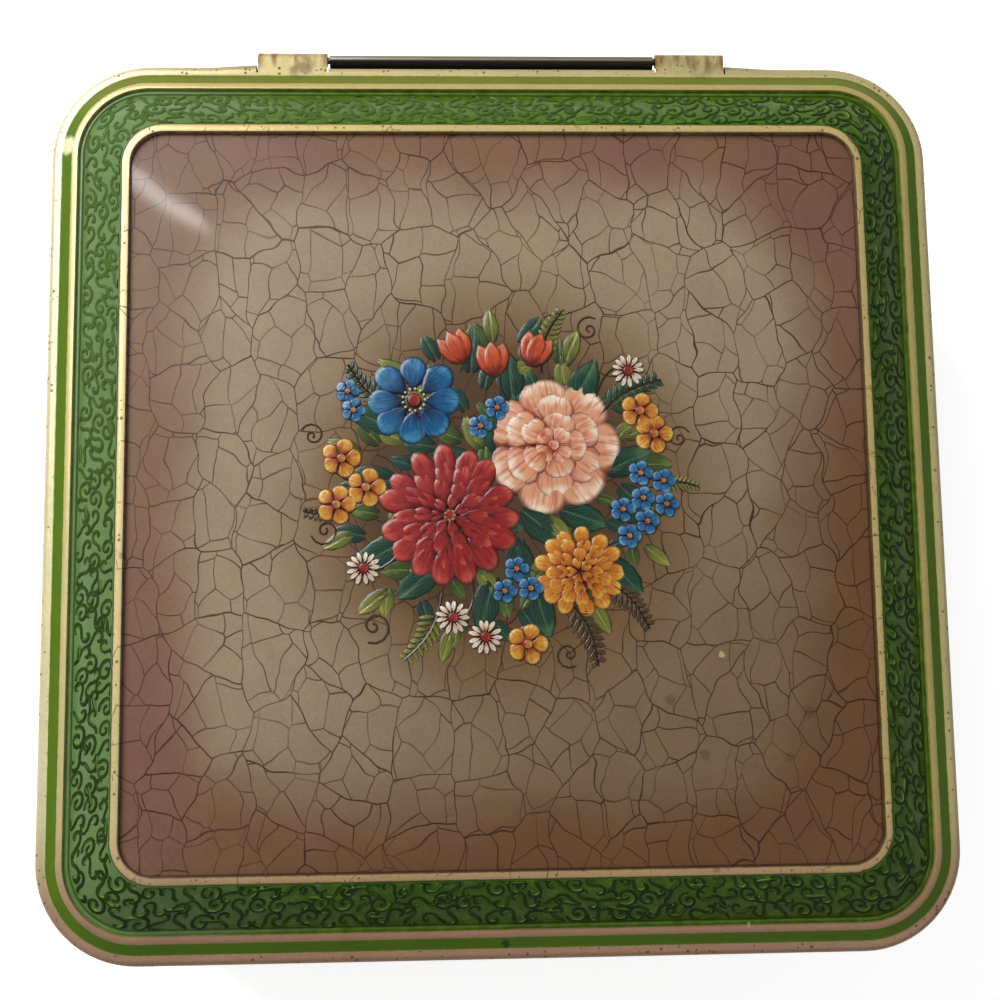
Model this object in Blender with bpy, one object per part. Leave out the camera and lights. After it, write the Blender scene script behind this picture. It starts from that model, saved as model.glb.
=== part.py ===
"""Square hinged keepsake tin, in tinplate: a drawn and beaded lid, a wall, a seamed base and a wire hinge.

Metres, +Z up. The tin stands on z = 0, with the middle of its box at the origin, and +Y points to the hinge.
Each sheet is drawn as its painted face, and Solidify adds the tinplate on the bare side. A section is a list
of (distance from the middle, height) pairs, and the painted face lies on the right of its direction.
"""

import math

import bmesh
import bpy

# The whole tin
LID_WIDTH = 0.190  # across the rim, and from front to back
RIM_CORNER = 0.021  # plan radius of the rim at its corners
RIM_HEIGHT = 0.066  # top of the rim above the table
SHEET = 0.0003  # thickness of the tinplate
SEAT_GAP = 0.0003  # between the closed lid and the wall that carries it

# Lid, from its hem to its panel
SKIRT_DEPTH = 0.0052  # rim top to the bottom of the hem
HEM_RADIUS = 0.00075
HEM_TURN = math.radians(250)
SHOULDER_RADIUS = 0.0016
LEDGE_WIDTH = 0.0007  # flat strip between the shoulder and the bead
BEAD_OUTER_RUN = 0.0024  # the bead's green outer side
BEAD_INNER_RUN = 0.0014  # its gold inner side
BEAD_HEIGHT = 0.0020
GROOVE_HEIGHT = 0.0004  # foot of the bead's inner side, above the rim
BAND_RUN = 0.0109  # plan width of the sloping band, from the bead to the gold line round the panel
FRAME_WIDTH = 0.0018  # that gold line
FRAME_CORNER = 0.0085
FRAME_HEIGHT = 0.0092  # its crest above the rim
FRAME_ROUND = 0.0003  # how far its outer edge lies under its crest
BAND_BULGE = 0.0005  # how far the sloping band stands out from a straight slope
PANEL_HEIGHT = 0.0074  # panel edge above the rim
PANEL_CROWN = 0.0026  # middle of the panel above its edge

# Embossed posy in the middle of the panel
POSY_RADIUS = 0.042
POSY_RELIEF = 0.0014
BLOSSOM_SHARES = (  # x, y and radius as shares of the posy's radius, height as a share of its relief
    (-0.24, -0.12, 0.34, 1.0),
    (0.26, 0.20, 0.33, 1.0),
    (-0.42, 0.46, 0.22, 0.7),
    (0.36, -0.42, 0.22, 0.7),
    (0.02, 0.66, 0.16, 0.6),
    (-0.70, 0.06, 0.16, 0.5),
    (0.72, -0.06, 0.15, 0.5),
    (-0.14, -0.66, 0.18, 0.6),
)
LEAF_BED_SHARE = 0.3  # height of the bed of leaves under the blossoms
BLOSSOM_EDGE_SHARE = 0.5  # of a blossom's radius, over which it rises to its full height

# Hinge
HINGE_REACH = 0.0018  # axis outside the lid's rim
WIRE_RADIUS = 0.00075
WIRE_GAP = 0.0001
WIRE_SHOWING = 0.0002  # how far the wire shows past each tab
TAB_INNER = 0.0360  # lid tabs, from the middle of the tin
TAB_WIDTH = 0.0150
TAB_TURN = math.radians(450)
TAB_PITCH = 0.0004  # growth of the rolled tab in one turn
TONGUE_HALF = 0.0355
TONGUE_LEAN = math.radians(45)
TONGUE_WRAP = math.radians(285)
SLIT = 0.0005  # relief cut beside a tab or a tongue
NOTCH_MARGIN = 0.0010  # from a tab to the end of the notch in the skirt
RAIL_DROP = 0.0009  # raised back of the wall, below the rim

# Wall
WALL_INSET = 0.0009  # outer face of the wall, inside the lid's outer face
WALL_BEND = 0.00045
NECK_GAP = 0.0003  # between the lid's hem and the neck
NECK_DROP = 0.0018  # top of the neck below the rim
NECK_CURL = 0.00075
NECK_CURL_TURN = math.radians(250)
NECK_BEND = 0.0003
LOCK_SEAM_WIDTH = 0.0050  # folded joint up the left side, thick on the inside
LOCK_SEAM_DEPTH = 0.0006
LOCK_SEAM_PLACE = 0.045  # behind the middle
LOCK_SEAM_MARGIN = 0.0010  # clear of the base and of the neck

# Base and its double seam
SEAM_GAP = 0.00012  # between the layers of the seam
SEAM_HEIGHT = 0.0030
HOOK_OVERLAP = 0.0012  # how far the two hooks reach past each other
BASE_RECESS = 0.0032  # base panel above the table
BASE_BEND = 0.0005
BASE_STEP_INSET = 0.0080  # shallow pressed step, from the edge of the base panel
BASE_STEP_RUN = 0.0010
BASE_STEP_RISE = 0.0006

# Facets
CORNER_STEPS = 6
CURL_STEP = math.radians(45)
ROLL_STEP = math.radians(22.5)
SHOULDER_STEP = math.radians(30)
WHOLE_STEP_SHARE = 0.001  # of a step, so that rounding adds no step to a whole number of them
BEAD_OUTER_SHARES = (0, 1 / 3, 2 / 3, 1)  # points across the bead's outer side
BEAD_INNER_SHARES = (0.5, 1)  # across its inner side, after the crest
BAND_SHARES = (1 / 3, 2 / 3)  # between the ends of the sloping band
FRAME_SHARES = ((1 / 3, 0), (2 / 3, 0.4), (1, 1))  # across the gold line, and down from its crest
LID_SIDE_SHARES = (-0.6, -0.2, 0.2, 0.6)  # points on a straight side, from its middle to its ends
WALL_SIDE_SHARES = (-0.4, 0.4)
PANEL_RING_SHARES = (0.98, 0.92, 0.82, 0.70)  # rings of the panel outside the posy
POSY_RINGS = 10
ROUNDING_SHARE = 0.6  # panel rings under this share of the panel are round
BACK_MIDDLE_SHARE = 0.34  # point on the back between the middle and the tongue's end
SMOOTH_ANGLE = math.radians(40)

# Worked out from the sizes above
lid_half = LID_WIDTH / 2
corner_centre = lid_half - RIM_CORNER
bead_foot = lid_half - SHOULDER_RADIUS - LEDGE_WIDTH
bead_crest = bead_foot - BEAD_OUTER_RUN
groove_half = bead_crest - BEAD_INNER_RUN
frame_half = groove_half - BAND_RUN
tab_outer = TAB_INNER + TAB_WIDTH
notch_half = tab_outer + NOTCH_MARGIN
tab_radius = WIRE_RADIUS + WIRE_GAP + SHEET + TAB_PITCH * TAB_TURN / math.tau
axis_y = lid_half + HINGE_REACH
axis_z = RIM_HEIGHT - tab_radius
hem_bottom = RIM_HEIGHT - SKIRT_DEPTH
ledge_top = hem_bottom - SEAT_GAP
wall_half = lid_half - WALL_INSET
neck_half = lid_half - 2 * HEM_RADIUS - NECK_GAP
seam_half = wall_half + 3 * (SEAM_GAP + SHEET)
hook_radius = SEAM_GAP + SHEET / 2  # inner radius of both hooks' bends
hook_top = SEAM_HEIGHT - SHEET - hook_radius
middle_y = (axis_y + tab_radius - seam_half) / 2
back_middle = BACK_MIDDLE_SHARE * TONGUE_HALF

PAINTS = {  # colour, roughness and metallic value
    "cream": ((0.62, 0.56, 0.36, 1), 0.35, 0.2),
    "green": ((0.10, 0.19, 0.035, 1), 0.30, 0.0),
    "gold": ((0.55, 0.44, 0.20, 1), 0.30, 0.5),
    "brown_lacquer": ((0.25, 0.17, 0.11, 1), 0.18, 0.0),
    "bare_tin": ((0.50, 0.49, 0.47, 1), 0.35, 1.0),
    "wire_steel": ((0.33, 0.32, 0.31, 1), 0.40, 1.0),
}


def clear_scene():
    for old in list(bpy.data.objects):
        bpy.data.objects.remove(old, do_unlink=True)


def paint(name):
    """The named material, made the first time that it is asked for."""
    if name in bpy.data.materials:
        return bpy.data.materials[name]
    colour, roughness, metallic = PAINTS[name]
    material = bpy.data.materials.new(name)
    material.use_nodes = True
    shader = material.node_tree.nodes["Principled BSDF"]
    shader.inputs["Base Color"].default_value = colour
    shader.inputs["Roughness"].default_value = roughness
    shader.inputs["Metallic"].default_value = metallic
    material.diffuse_color = colour
    return material


def add_empty(name, place, parent=None):
    marker = bpy.data.objects.new(name, None)
    bpy.context.collection.objects.link(marker)
    marker.location = place
    marker.parent = parent
    return marker


# Sections and rings


def arc(centre, radius, start, turn, step):
    """Points of an arc from the angle start through turn, in equal steps no longer than step."""
    count = math.ceil(abs(turn) / step - WHOLE_STEP_SHARE)
    angles = [start + turn * i / count for i in range(count + 1)]
    return [(centre[0] + radius * math.cos(t), centre[1] + radius * math.sin(t)) for t in angles]


def ease(share):
    """A smooth step from 0 to 1."""
    return (1 - math.cos(math.pi * min(1, max(0, share)))) / 2


def rounded_square(half, corner, height, side_shares, back_places=()):
    """A ring, anticlockwise from above: each side's points and then the corner after it, from the front on.

    back_places are the places of the points on the back, given where they line up with the hinge.
    """
    straight = half - corner
    step = math.pi / 2 / CORNER_STEPS
    ring = []
    for quarter in range(4):
        places = [share * straight for share in side_shares]
        if quarter == 2 and back_places:
            places = sorted([-x for x in back_places] + list(back_places))
        side = [(x, -half) for x in places]
        side += arc((straight, -straight), corner, -math.pi / 2, math.pi / 2, step)
        cosine, sine = math.cos(quarter * math.pi / 2), math.sin(quarter * math.pi / 2)
        ring += [(x * cosine - y * sine, x * sine + y * cosine, height) for x, y in side]
    return ring


def offset_rings(section, side_shares, back_places=()):
    """The section's rings, with corners that share the centres of the rim's corners."""
    return [rounded_square(a, a - corner_centre, z, side_shares, back_places) for a, z in section]


# Sheets


def add_ring_rows(bm, rings):
    return [[bm.verts.new(point) for point in ring] for ring in rings]


def join_rings(bm, rows, paints, keep=lambda number, middle: True):
    """Quads between closed rows, each band with its paint's number, where keep(band, middle of edge) allows."""
    for number, (low, high) in enumerate(zip(rows, rows[1:])):
        for i in range(len(low)):
            j = (i + 1) % len(low)
            if keep(number, (low[i].co + low[j].co) / 2):
                face = bm.faces.new((low[i], low[j], high[j], high[i]))
                face.material_index = paints[number]


def join_strip(bm, rows, paint_number):
    """Quads between open rows."""
    for low, high in zip(rows, rows[1:]):
        for i in range(len(low) - 1):
            face = bm.faces.new((low[i], low[i + 1], high[i + 1], high[i]))
            face.material_index = paint_number


def add_strip_rows(bm, edge_row, section):
    """Rows through a section of (y, z) points, at the places across of edge_row."""
    return [[bm.verts.new((vertex.co.x, y, z)) for vertex in edge_row] for y, z in section]


def back_row(row, low, high):
    """The points of a ring's back side from x = low to x = high."""
    margin = SLIT / 2
    back = max(vertex.co.y for vertex in row) - margin
    return [v for v in row if v.co.y > back and low - margin < v.co.x < high + margin]


def finish_sheet(bm, name, paints, parent, origin):
    """The sheet as an object at origin, with its paints outside and bare tinplate inside."""
    loose = [vertex for vertex in bm.verts if not vertex.link_faces]
    bmesh.ops.delete(bm, geom=loose, context="VERTS")
    bmesh.ops.translate(bm, verts=bm.verts, vec=[-value for value in origin])
    mesh = bpy.data.meshes.new(name)
    bm.to_mesh(mesh)
    bm.free()
    mesh.shade_smooth()
    mesh.set_sharp_from_angle(angle=SMOOTH_ANGLE)
    sheet = bpy.data.objects.new(name, mesh)
    bpy.context.collection.objects.link(sheet)
    sheet.parent = parent
    for name_of_paint in (*paints, "bare_tin"):
        mesh.materials.append(paint(name_of_paint))
    tinplate = sheet.modifiers.new("tinplate", "SOLIDIFY")
    tinplate.thickness = SHEET
    tinplate.offset = -1
    tinplate.use_even_offset = True
    tinplate.material_offset = len(paints)
    return sheet


# Lid


def lid_outline():
    """The lid's section from the hem to the panel, each point with a corner radius and a paint number."""
    cream, green, gold, brown = range(4)
    hem = arc((lid_half - HEM_RADIUS, hem_bottom + HEM_RADIUS), HEM_RADIUS, -HEM_TURN, HEM_TURN, CURL_STEP)
    shoulder_centre = (lid_half - SHOULDER_RADIUS, RIM_HEIGHT - SHOULDER_RADIUS)
    shoulder = arc(shoulder_centre, SHOULDER_RADIUS, 0, math.pi / 2, SHOULDER_STEP)
    points = [(a, z, a - corner_centre, cream) for a, z in hem + shoulder]
    for share in BEAD_OUTER_SHARES:
        a = bead_foot - BEAD_OUTER_RUN * share
        z = RIM_HEIGHT + BEAD_HEIGHT * ease(share)
        points.append((a, z, a - corner_centre, green if share < 1 else gold))
    for share in BEAD_INNER_SHARES:
        a = bead_crest - BEAD_INNER_RUN * share
        z = RIM_HEIGHT + BEAD_HEIGHT - (BEAD_HEIGHT - GROOVE_HEIGHT) * ease(share)
        points.append((a, z, a - corner_centre, gold if share < 1 else green))
    groove_corner = groove_half - corner_centre
    groove_top = RIM_HEIGHT + GROOVE_HEIGHT
    frame_edge = RIM_HEIGHT + FRAME_HEIGHT - FRAME_ROUND
    for share in BAND_SHARES:
        a = groove_half - BAND_RUN * share
        z = groove_top + (frame_edge - groove_top) * share + BAND_BULGE * math.sin(math.pi * share)
        points.append((a, z, groove_corner + (FRAME_CORNER - groove_corner) * share, green))
    points.append((frame_half, frame_edge, FRAME_CORNER, gold))
    for inward_share, fall_share in FRAME_SHARES:
        inward = FRAME_WIDTH * inward_share
        z = RIM_HEIGHT + FRAME_HEIGHT - (FRAME_HEIGHT - PANEL_HEIGHT) * fall_share
        points.append((frame_half - inward, z, FRAME_CORNER - inward, gold if inward_share < 1 else brown))
    return points


def posy_relief(x, y):
    """Height of the embossing over the plain panel."""
    out = math.hypot(x, y) / POSY_RADIUS
    height = LEAF_BED_SHARE * ease((1 - out) / LEAF_BED_SHARE)
    for x_share, y_share, radius_share, height_share in BLOSSOM_SHARES:
        away = math.hypot(x / POSY_RADIUS - x_share, y / POSY_RADIUS - y_share) / radius_share
        height = max(height, height_share * ease((1 - away) / BLOSSOM_EDGE_SHARE))
    return POSY_RELIEF * height


def panel_rings(edge):
    """Rings from the panel's edge to the posy's middle, square outside and round inside, over the crown."""
    half = max(x for x, _, _ in edge)
    count = len(edge)
    angles = [math.atan2(y, x) for x, y, _ in edge]
    turned = [(angle - angles[0]) % math.tau for angle in angles]
    start = angles[0] + sum(t - math.tau * i / count for i, t in enumerate(turned)) / count
    shares = [*PANEL_RING_SHARES]
    shares += [POSY_RADIUS / half * (1 - i / POSY_RINGS) for i in range(POSY_RINGS)]
    rings = []
    for share in shares:
        round_part = ease((1 - share) / (1 - ROUNDING_SHARE))
        ring = []
        for i, (x, y, _) in enumerate(edge):
            angle = start + math.tau * i / count
            x = share * (x + (half * math.cos(angle) - x) * round_part)
            y = share * (y + (half * math.sin(angle) - y) * round_part)
            ring.append((x, y, panel_height(share) + posy_relief(x, y)))
        rings.append(ring)
    return rings


def panel_height(share):
    """Height of the pillowed panel at this share of the way from its middle to its edge."""
    return RIM_HEIGHT + PANEL_HEIGHT + PANEL_CROWN * (1 - share * share)


def tab_section():
    """A rolled tab: from its end beside the wire, out through the turns, to the top of the roll."""
    count = math.ceil(TAB_TURN / ROLL_STEP)
    section = []
    for i in range(count + 1):
        left = TAB_TURN * (1 - i / count)
        radius = tab_radius - TAB_PITCH * left / math.tau
        angle = math.pi / 2 - left
        section.append((axis_y + radius * math.cos(angle), axis_z + radius * math.sin(angle)))
    return section


def make_lid(parent):
    """Drawn from one sheet: hem, skirt, shoulder, bead, sloping band, frame, panel, and two rolled tabs."""
    outline = lid_outline()
    back_places = (back_middle, TAB_INNER - SLIT, TAB_INNER, tab_outer, notch_half)
    rings = [rounded_square(a, corner, z, LID_SIDE_SHARES, back_places) for a, z, corner, _ in outline]
    rings += panel_rings(rings[-1])
    brown = outline[-1][3]
    paints = [number for *_, number in outline] + [brown] * (len(rings) - len(outline))
    shoulder_top = next(i for i, (_, z, _, _) in enumerate(outline) if z >= RIM_HEIGHT)

    def keep(number, middle):
        if number >= shoulder_top or middle.y < corner_centre or abs(middle.x) > notch_half:
            return True
        return number == shoulder_top - 1 and abs(middle.x) < TAB_INNER - SLIT

    bm = bmesh.new()
    rows = add_ring_rows(bm, rings)
    join_rings(bm, rows, paints, keep)
    centre = bm.verts.new((0, 0, panel_height(0) + posy_relief(0, 0)))
    last = rows[-1]
    for i, vertex in enumerate(last):
        bm.faces.new((vertex, last[(i + 1) % len(last)], centre)).material_index = brown
    for low in (TAB_INNER, -tab_outer):
        root = back_row(rows[shoulder_top], low, low + TAB_WIDTH)
        join_strip(bm, [*add_strip_rows(bm, root, tab_section()), root], paints[0])
    return finish_sheet(bm, "lid", ("cream", "green", "gold", "brown_lacquer"), parent, (0, axis_y, axis_z))


# Wall


def wall_section():
    """The wall's section from the end of its seam hook up to the curl of its neck."""
    bend = (wall_half + hook_radius, SHEET + SEAM_GAP + SHEET + hook_radius)
    section = [(wall_half + 2 * hook_radius, hook_top)]
    section += arc(bend, hook_radius, 0, -math.pi, CURL_STEP)
    section += arc((wall_half - WALL_BEND, ledge_top - WALL_BEND), WALL_BEND, 0, math.pi / 2, CURL_STEP)
    neck_foot = (neck_half + NECK_BEND, ledge_top + NECK_BEND)
    section += arc(neck_foot, NECK_BEND, 3 * math.pi / 2, -math.pi / 2, CURL_STEP)
    curl = (neck_half - NECK_CURL, RIM_HEIGHT - NECK_DROP - NECK_CURL)
    section += arc(curl, NECK_CURL, 0, NECK_CURL_TURN, CURL_STEP)
    return section


def tongue_section():
    """The tongue up from the wall: it leans out and rolls over the wire, with its bare side outermost."""
    roll = arc((axis_y, axis_z), WIRE_RADIUS + WIRE_GAP, math.pi - TONGUE_LEAN, -TONGUE_WRAP, ROLL_STEP)
    run = roll[0][0] - wall_half
    return [(wall_half, roll[0][1] - run / math.tan(TONGUE_LEAN)), *roll]


def make_wall(parent):
    """One strip bent round: seam hook, wall, ledge and neck, with the rolled tongue of the hinge at the back.

    The neck stops where the back corners begin, so that the lid's back can swing in over the wall.
    """
    section = wall_section()
    back_places = (back_middle, TONGUE_HALF, TONGUE_HALF + SLIT, tab_outer, tab_outer + SLIT)
    rings = offset_rings(section, WALL_SIDE_SHARES, back_places)
    wall_top = next(i for i, (a, z) in enumerate(section) if z >= ledge_top - WALL_BEND and a <= wall_half)
    ledge = next(i for i, (_, z) in enumerate(section) if i > wall_top and z >= ledge_top)

    def keep(number, middle):
        if number < wall_top or middle.y < corner_centre:
            return True
        return number < ledge and abs(middle.x) > tab_outer + SLIT

    bm = bmesh.new()
    rows = add_ring_rows(bm, rings)
    join_rings(bm, rows, [0] * len(rows), keep)
    tongue_root = back_row(rows[wall_top], -TONGUE_HALF, TONGUE_HALF)
    join_strip(bm, [tongue_root, *add_strip_rows(bm, tongue_root, tongue_section())], 0)
    rail_width = tab_outer - TONGUE_HALF - SLIT
    for low in (TONGUE_HALF + SLIT, -tab_outer):
        rail_root = back_row(rows[wall_top], low, low + rail_width)
        rail_top = add_strip_rows(bm, rail_root, [(wall_half, RIM_HEIGHT - RAIL_DROP)])
        join_strip(bm, [rail_root, *rail_top], 0)
    wall = finish_sheet(bm, "body_wall", ("brown_lacquer",), parent, (0, 0, 0))
    joint = wall.modifiers.new("lock seam", "BOOLEAN")
    joint.operation = "UNION"
    joint.object = make_lock_seam(parent)
    return wall


def make_lock_seam(parent):
    """The extra thickness of the folded joint inside the wall's left side, as a shape to add to the wall."""
    low = BASE_RECESS + BASE_STEP_RISE + SHEET + LOCK_SEAM_MARGIN
    high = ledge_top - WALL_BEND - LOCK_SEAM_MARGIN
    inner_face = SHEET + LOCK_SEAM_DEPTH  # both measured in from the wall's outer face
    outer_face = SHEET / 2
    depth = inner_face - outer_face
    bm = bmesh.new()
    bmesh.ops.create_cube(bm, size=1)
    bmesh.ops.scale(bm, verts=bm.verts, vec=(depth, LOCK_SEAM_WIDTH, high - low))
    place = ((inner_face + outer_face) / 2 - wall_half, LOCK_SEAM_PLACE, (low + high) / 2)
    bmesh.ops.translate(bm, verts=bm.verts, vec=place)
    mesh = bpy.data.meshes.new("lock_seam")
    bm.to_mesh(mesh)
    bm.free()
    mesh.materials.append(paint("bare_tin"))
    strip = bpy.data.objects.new("lock_seam", mesh)
    bpy.context.collection.objects.link(strip)
    strip.parent = parent
    strip.hide_render = True
    strip.display_type = "WIRE"
    return strip


# Base


def base_section():
    """The base's section from the middle of its panel out, down, round under the seam and over into its hook."""
    inner = wall_half - SHEET - SEAM_GAP - SHEET
    step = inner - BASE_STEP_INSET
    section = [(step - BASE_STEP_RUN, BASE_RECESS + BASE_STEP_RISE), (step, BASE_RECESS)]
    section += arc((inner - BASE_BEND, BASE_RECESS - BASE_BEND), BASE_BEND, math.pi / 2, -math.pi / 2, CURL_STEP)
    section += arc((inner + BASE_BEND, BASE_BEND), BASE_BEND, math.pi, math.pi / 2, CURL_STEP)
    section += arc((seam_half - BASE_BEND, BASE_BEND), BASE_BEND, 3 * math.pi / 2, math.pi / 2, CURL_STEP)
    outer_radius = hook_radius + SHEET
    section += arc((seam_half - outer_radius, hook_top), outer_radius, 0, math.pi, CURL_STEP)
    section.append((section[-1][0], hook_top - HOOK_OVERLAP))
    return section


def make_base(parent):
    """A plate recessed above the table, its edge folded round the wall's hook in a double seam."""
    section = base_section()
    bm = bmesh.new()
    rows = add_ring_rows(bm, offset_rings(section, WALL_SIDE_SHARES))
    join_rings(bm, rows, [0] * len(rows))
    bm.faces.new(reversed(rows[0]))
    return finish_sheet(bm, "base_plate", ("gold",), parent, (0, 0, 0))


def make_wire(parent):
    """The hinge wire, through the tongue's roll and both tabs."""
    half = tab_outer + WIRE_SHOWING
    curve = bpy.data.curves.new("hinge_wire", "CURVE")
    curve.dimensions = "3D"
    curve.bevel_depth = WIRE_RADIUS
    curve.bevel_resolution = 2
    curve.use_fill_caps = True
    line = curve.splines.new("POLY")
    line.points.add(1)
    for point, x in zip(line.points, (-half, half)):
        point.co = (x, 0, 0, 1)
    curve.materials.append(paint("wire_steel"))
    wire = bpy.data.objects.new("hinge_wire", curve)
    bpy.context.collection.objects.link(wire)
    wire.parent = parent
    return wire


def main():
    clear_scene()
    tin = add_empty("tin", (0, -middle_y, 0))
    hinge = add_empty("lid_hinge", (0, axis_y, axis_z), tin)
    make_lid(hinge)
    make_wall(tin)
    make_base(tin)
    make_wire(hinge)
    print(f"hinge axis at y {axis_y - middle_y:.5f}, z {axis_z:.5f}")


main()
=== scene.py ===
import math
import random

import bmesh
import bpy
from mathutils import Matrix, Vector


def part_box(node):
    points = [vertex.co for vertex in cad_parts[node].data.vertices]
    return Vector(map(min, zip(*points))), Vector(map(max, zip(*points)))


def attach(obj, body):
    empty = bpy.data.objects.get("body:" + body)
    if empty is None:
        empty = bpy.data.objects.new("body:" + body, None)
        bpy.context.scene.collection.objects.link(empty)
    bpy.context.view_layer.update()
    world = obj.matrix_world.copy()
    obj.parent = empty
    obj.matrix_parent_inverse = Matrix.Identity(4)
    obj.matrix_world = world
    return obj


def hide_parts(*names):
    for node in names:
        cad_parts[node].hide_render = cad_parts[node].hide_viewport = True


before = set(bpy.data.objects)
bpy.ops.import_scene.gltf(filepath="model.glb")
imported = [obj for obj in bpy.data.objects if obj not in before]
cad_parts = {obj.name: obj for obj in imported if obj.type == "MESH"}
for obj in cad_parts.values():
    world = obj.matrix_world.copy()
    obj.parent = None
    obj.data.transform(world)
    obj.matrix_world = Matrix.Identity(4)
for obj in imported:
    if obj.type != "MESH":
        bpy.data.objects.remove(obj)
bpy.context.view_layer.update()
bpy.ops.object.select_all(action="DESELECT")

# The whole tin, in metres, as the frame has it: the lid's front edge gives the middle of the tin
tin = {
    "half": 0.095,              # rim, from the middle to its outer face
    "cornerCentre": 0.074,      # centres of the rounded corners
    "innerCentre": 0.0695,      # centres of the corners of the gold line round the panel
    "rimTop": 0.066,
    "sheet": 0.0003,
    "cornerSteps": 16,
    "sideSteps": 24,
    "weld": 0.00001,
    "smooth": math.radians(42),
}
middleY = -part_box("lid")[0].y - tin["half"]


# Modelling, by hand


def deselect():
    bpy.ops.object.select_all(action="DESELECT")


def selectAll():        # of the piece in edit mode
    bpy.ops.mesh.select_all(action="SELECT")


def setMode(mode):
    bpy.ops.object.mode_set(mode=mode)


def beginEditing(name):     # the primitive just added, with all of it selected
    piece = bpy.context.active_object
    piece.name = piece.data.name = name
    bpy.ops.object.transform_apply(location=True, rotation=True, scale=True)
    setMode("EDIT")
    selectAll()
    return piece


def endEditing(piece, *finishes):
    setMode("OBJECT")
    bpy.ops.object.shade_smooth_by_angle(angle=tin["smooth"])
    for finish in finishes:
        piece.data.materials.append(finish)


def extrudeBy(step):
    bpy.ops.mesh.extrude_region_move(TRANSFORM_OT_translate={"value": step})


def drawSection(name, section, centre):     # a line on the right side, where its straight starts
    deselect()
    bpy.ops.mesh.primitive_plane_add(size=tin["sheet"], location=(section[0][0], -centre, section[0][1]))
    piece = beginEditing(name)
    bpy.ops.mesh.select_mode(type="VERT")
    bpy.ops.mesh.merge(type="CENTER")
    for before, after in zip(section, section[1:]):
        extrudeBy((after[0] - before[0], 0, after[1] - before[1]))
    selectAll()
    return piece


def pick(piece, test, kind="verts"):        # selects what passes the test of its middle, and nothing else
    bpy.ops.mesh.select_mode(type=kind[:-1].upper())
    bpy.ops.mesh.select_all(action="DESELECT")
    shape = bmesh.from_edit_mesh(piece.data)
    for part in getattr(shape, kind):
        corners = [part.co] if kind == "verts" else [corner.co for corner in part.verts]
        part.select_set(bool(test(sum(corners, Vector()) / len(corners), part)))
    shape.select_flush_mode()
    bmesh.update_edit_mesh(piece.data)


def evenStops(centre, exact):       # even places along a side, the nearest ones moved to the exact places
    stops = [centre * (2 * i / tin["sideSteps"] - 1) for i in range(1, tin["sideSteps"])]
    free = list(range(len(stops)))
    for place in [side * place for place in exact for side in (1, -1)]:
        nearest = min(free, key=lambda i: abs(stops[i] - place))
        stops[nearest] = place
        free.remove(nearest)
    return sorted(stops)


def sweepRound(centre, exactBack=()):       # the selected line goes once round the tin
    for quarter in range(4):
        along = Vector((-math.sin(quarter * math.pi / 2), math.cos(quarter * math.pi / 2), 0))
        outward = Vector((along.y, -along.x, 0))
        before = -centre
        for stop in evenStops(centre, exactBack if quarter == 1 else ()) + [centre]:
            extrudeBy(along * (stop - before))
            before = stop
        bpy.ops.mesh.spin(
            steps=tin["cornerSteps"], angle=-math.pi / 2, center=(along + outward) * centre, axis=(0, 0, 1))
    selectAll()
    bpy.ops.mesh.remove_doubles(threshold=tin["weld"])


def arc(centre, radius, start, turn, step):
    count = math.ceil(abs(turn) / step - 0.001)
    angles = [start + turn * i / count for i in range(count + 1)]
    return [(centre[0] + radius * math.cos(a), centre[1] + radius * math.sin(a)) for a in angles]


def ease(share):
    return (1 - math.cos(math.pi * min(1, max(0, share)))) / 2


def ringOut(point, centre):     # how far out a point lies, on rounded squares round the same corner centres
    x, y = abs(point.x), abs(point.y)
    if x > centre and y > centre:
        return centre + math.hypot(x - centre, y - centre)
    return max(x, y)


def openRing(place, centre):        # test for the free edges at a (half, height) place
    def test(point, part):
        onHeight = abs(point.z - place[1]) < tin["weld"]
        return part.is_boundary and onHeight and abs(ringOut(point, centre) - place[0]) < tin["weld"] * 20
    return test


def extrudeThrough(points, first):      # the selection goes through (y, z) places, from the first one
    for before, after in zip([first] + points, points):
        extrudeBy((0, after[0] - before[0], after[1] - before[1]))


def turnOut(piece, test, wanted):       # turns all faces over if the one that passes the test looks wrong
    selectAll()
    bpy.ops.mesh.normals_make_consistent(inside=False)
    shape = bmesh.from_edit_mesh(piece.data)
    face = next(face for face in shape.faces if test(face.calc_center_median()))
    if face.normal.dot(Vector(wanted)) < 0:
        bpy.ops.mesh.flip_normals()


def makeSheet(piece, outside, inside):      # tinplate behind the painted face
    selectAll()
    bpy.ops.transform.translate(value=(0, -middleY, 0))
    setMode("OBJECT")
    piece.data.materials.append(outside)
    piece.data.materials.append(inside)
    plate = piece.modifiers.new("tinplate", "SOLIDIFY")
    plate.thickness = tin["sheet"]
    plate.offset = -1
    plate.use_even_offset = True
    plate.material_offset = 1
    bpy.ops.object.modifier_apply(modifier=plate.name)
    bpy.ops.object.shade_smooth_by_angle(angle=tin["smooth"])


def finishPiece(piece, body, slot, *replaced):
    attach(piece, body)
    if replaced:
        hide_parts(*replaced)
    print("made", piece.name, len(piece.data.polygons), "faces")


def copyPiece(master, matrix):      # with its own mesh
    piece = master.copy()
    piece.data = master.data.copy()
    bpy.context.collection.objects.link(piece)
    piece.matrix_world = matrix
    return piece


def joinPieces(name, pieces, *finishes):        # one object at the origin, with its faces outward
    deselect()
    for piece in pieces:
        piece.select_set(True)
    bpy.context.view_layer.objects.active = pieces[0]
    bpy.ops.object.join()
    joined = beginEditing(name)
    bpy.ops.mesh.normals_make_consistent(inside=False)
    endEditing(joined, *finishes)
    return joined


def discard(masters):
    for master in masters:
        bpy.data.objects.remove(master, do_unlink=True)


# Nodes: a value stands for one output of a node, and a sum of values adds the nodes that it needs


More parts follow.
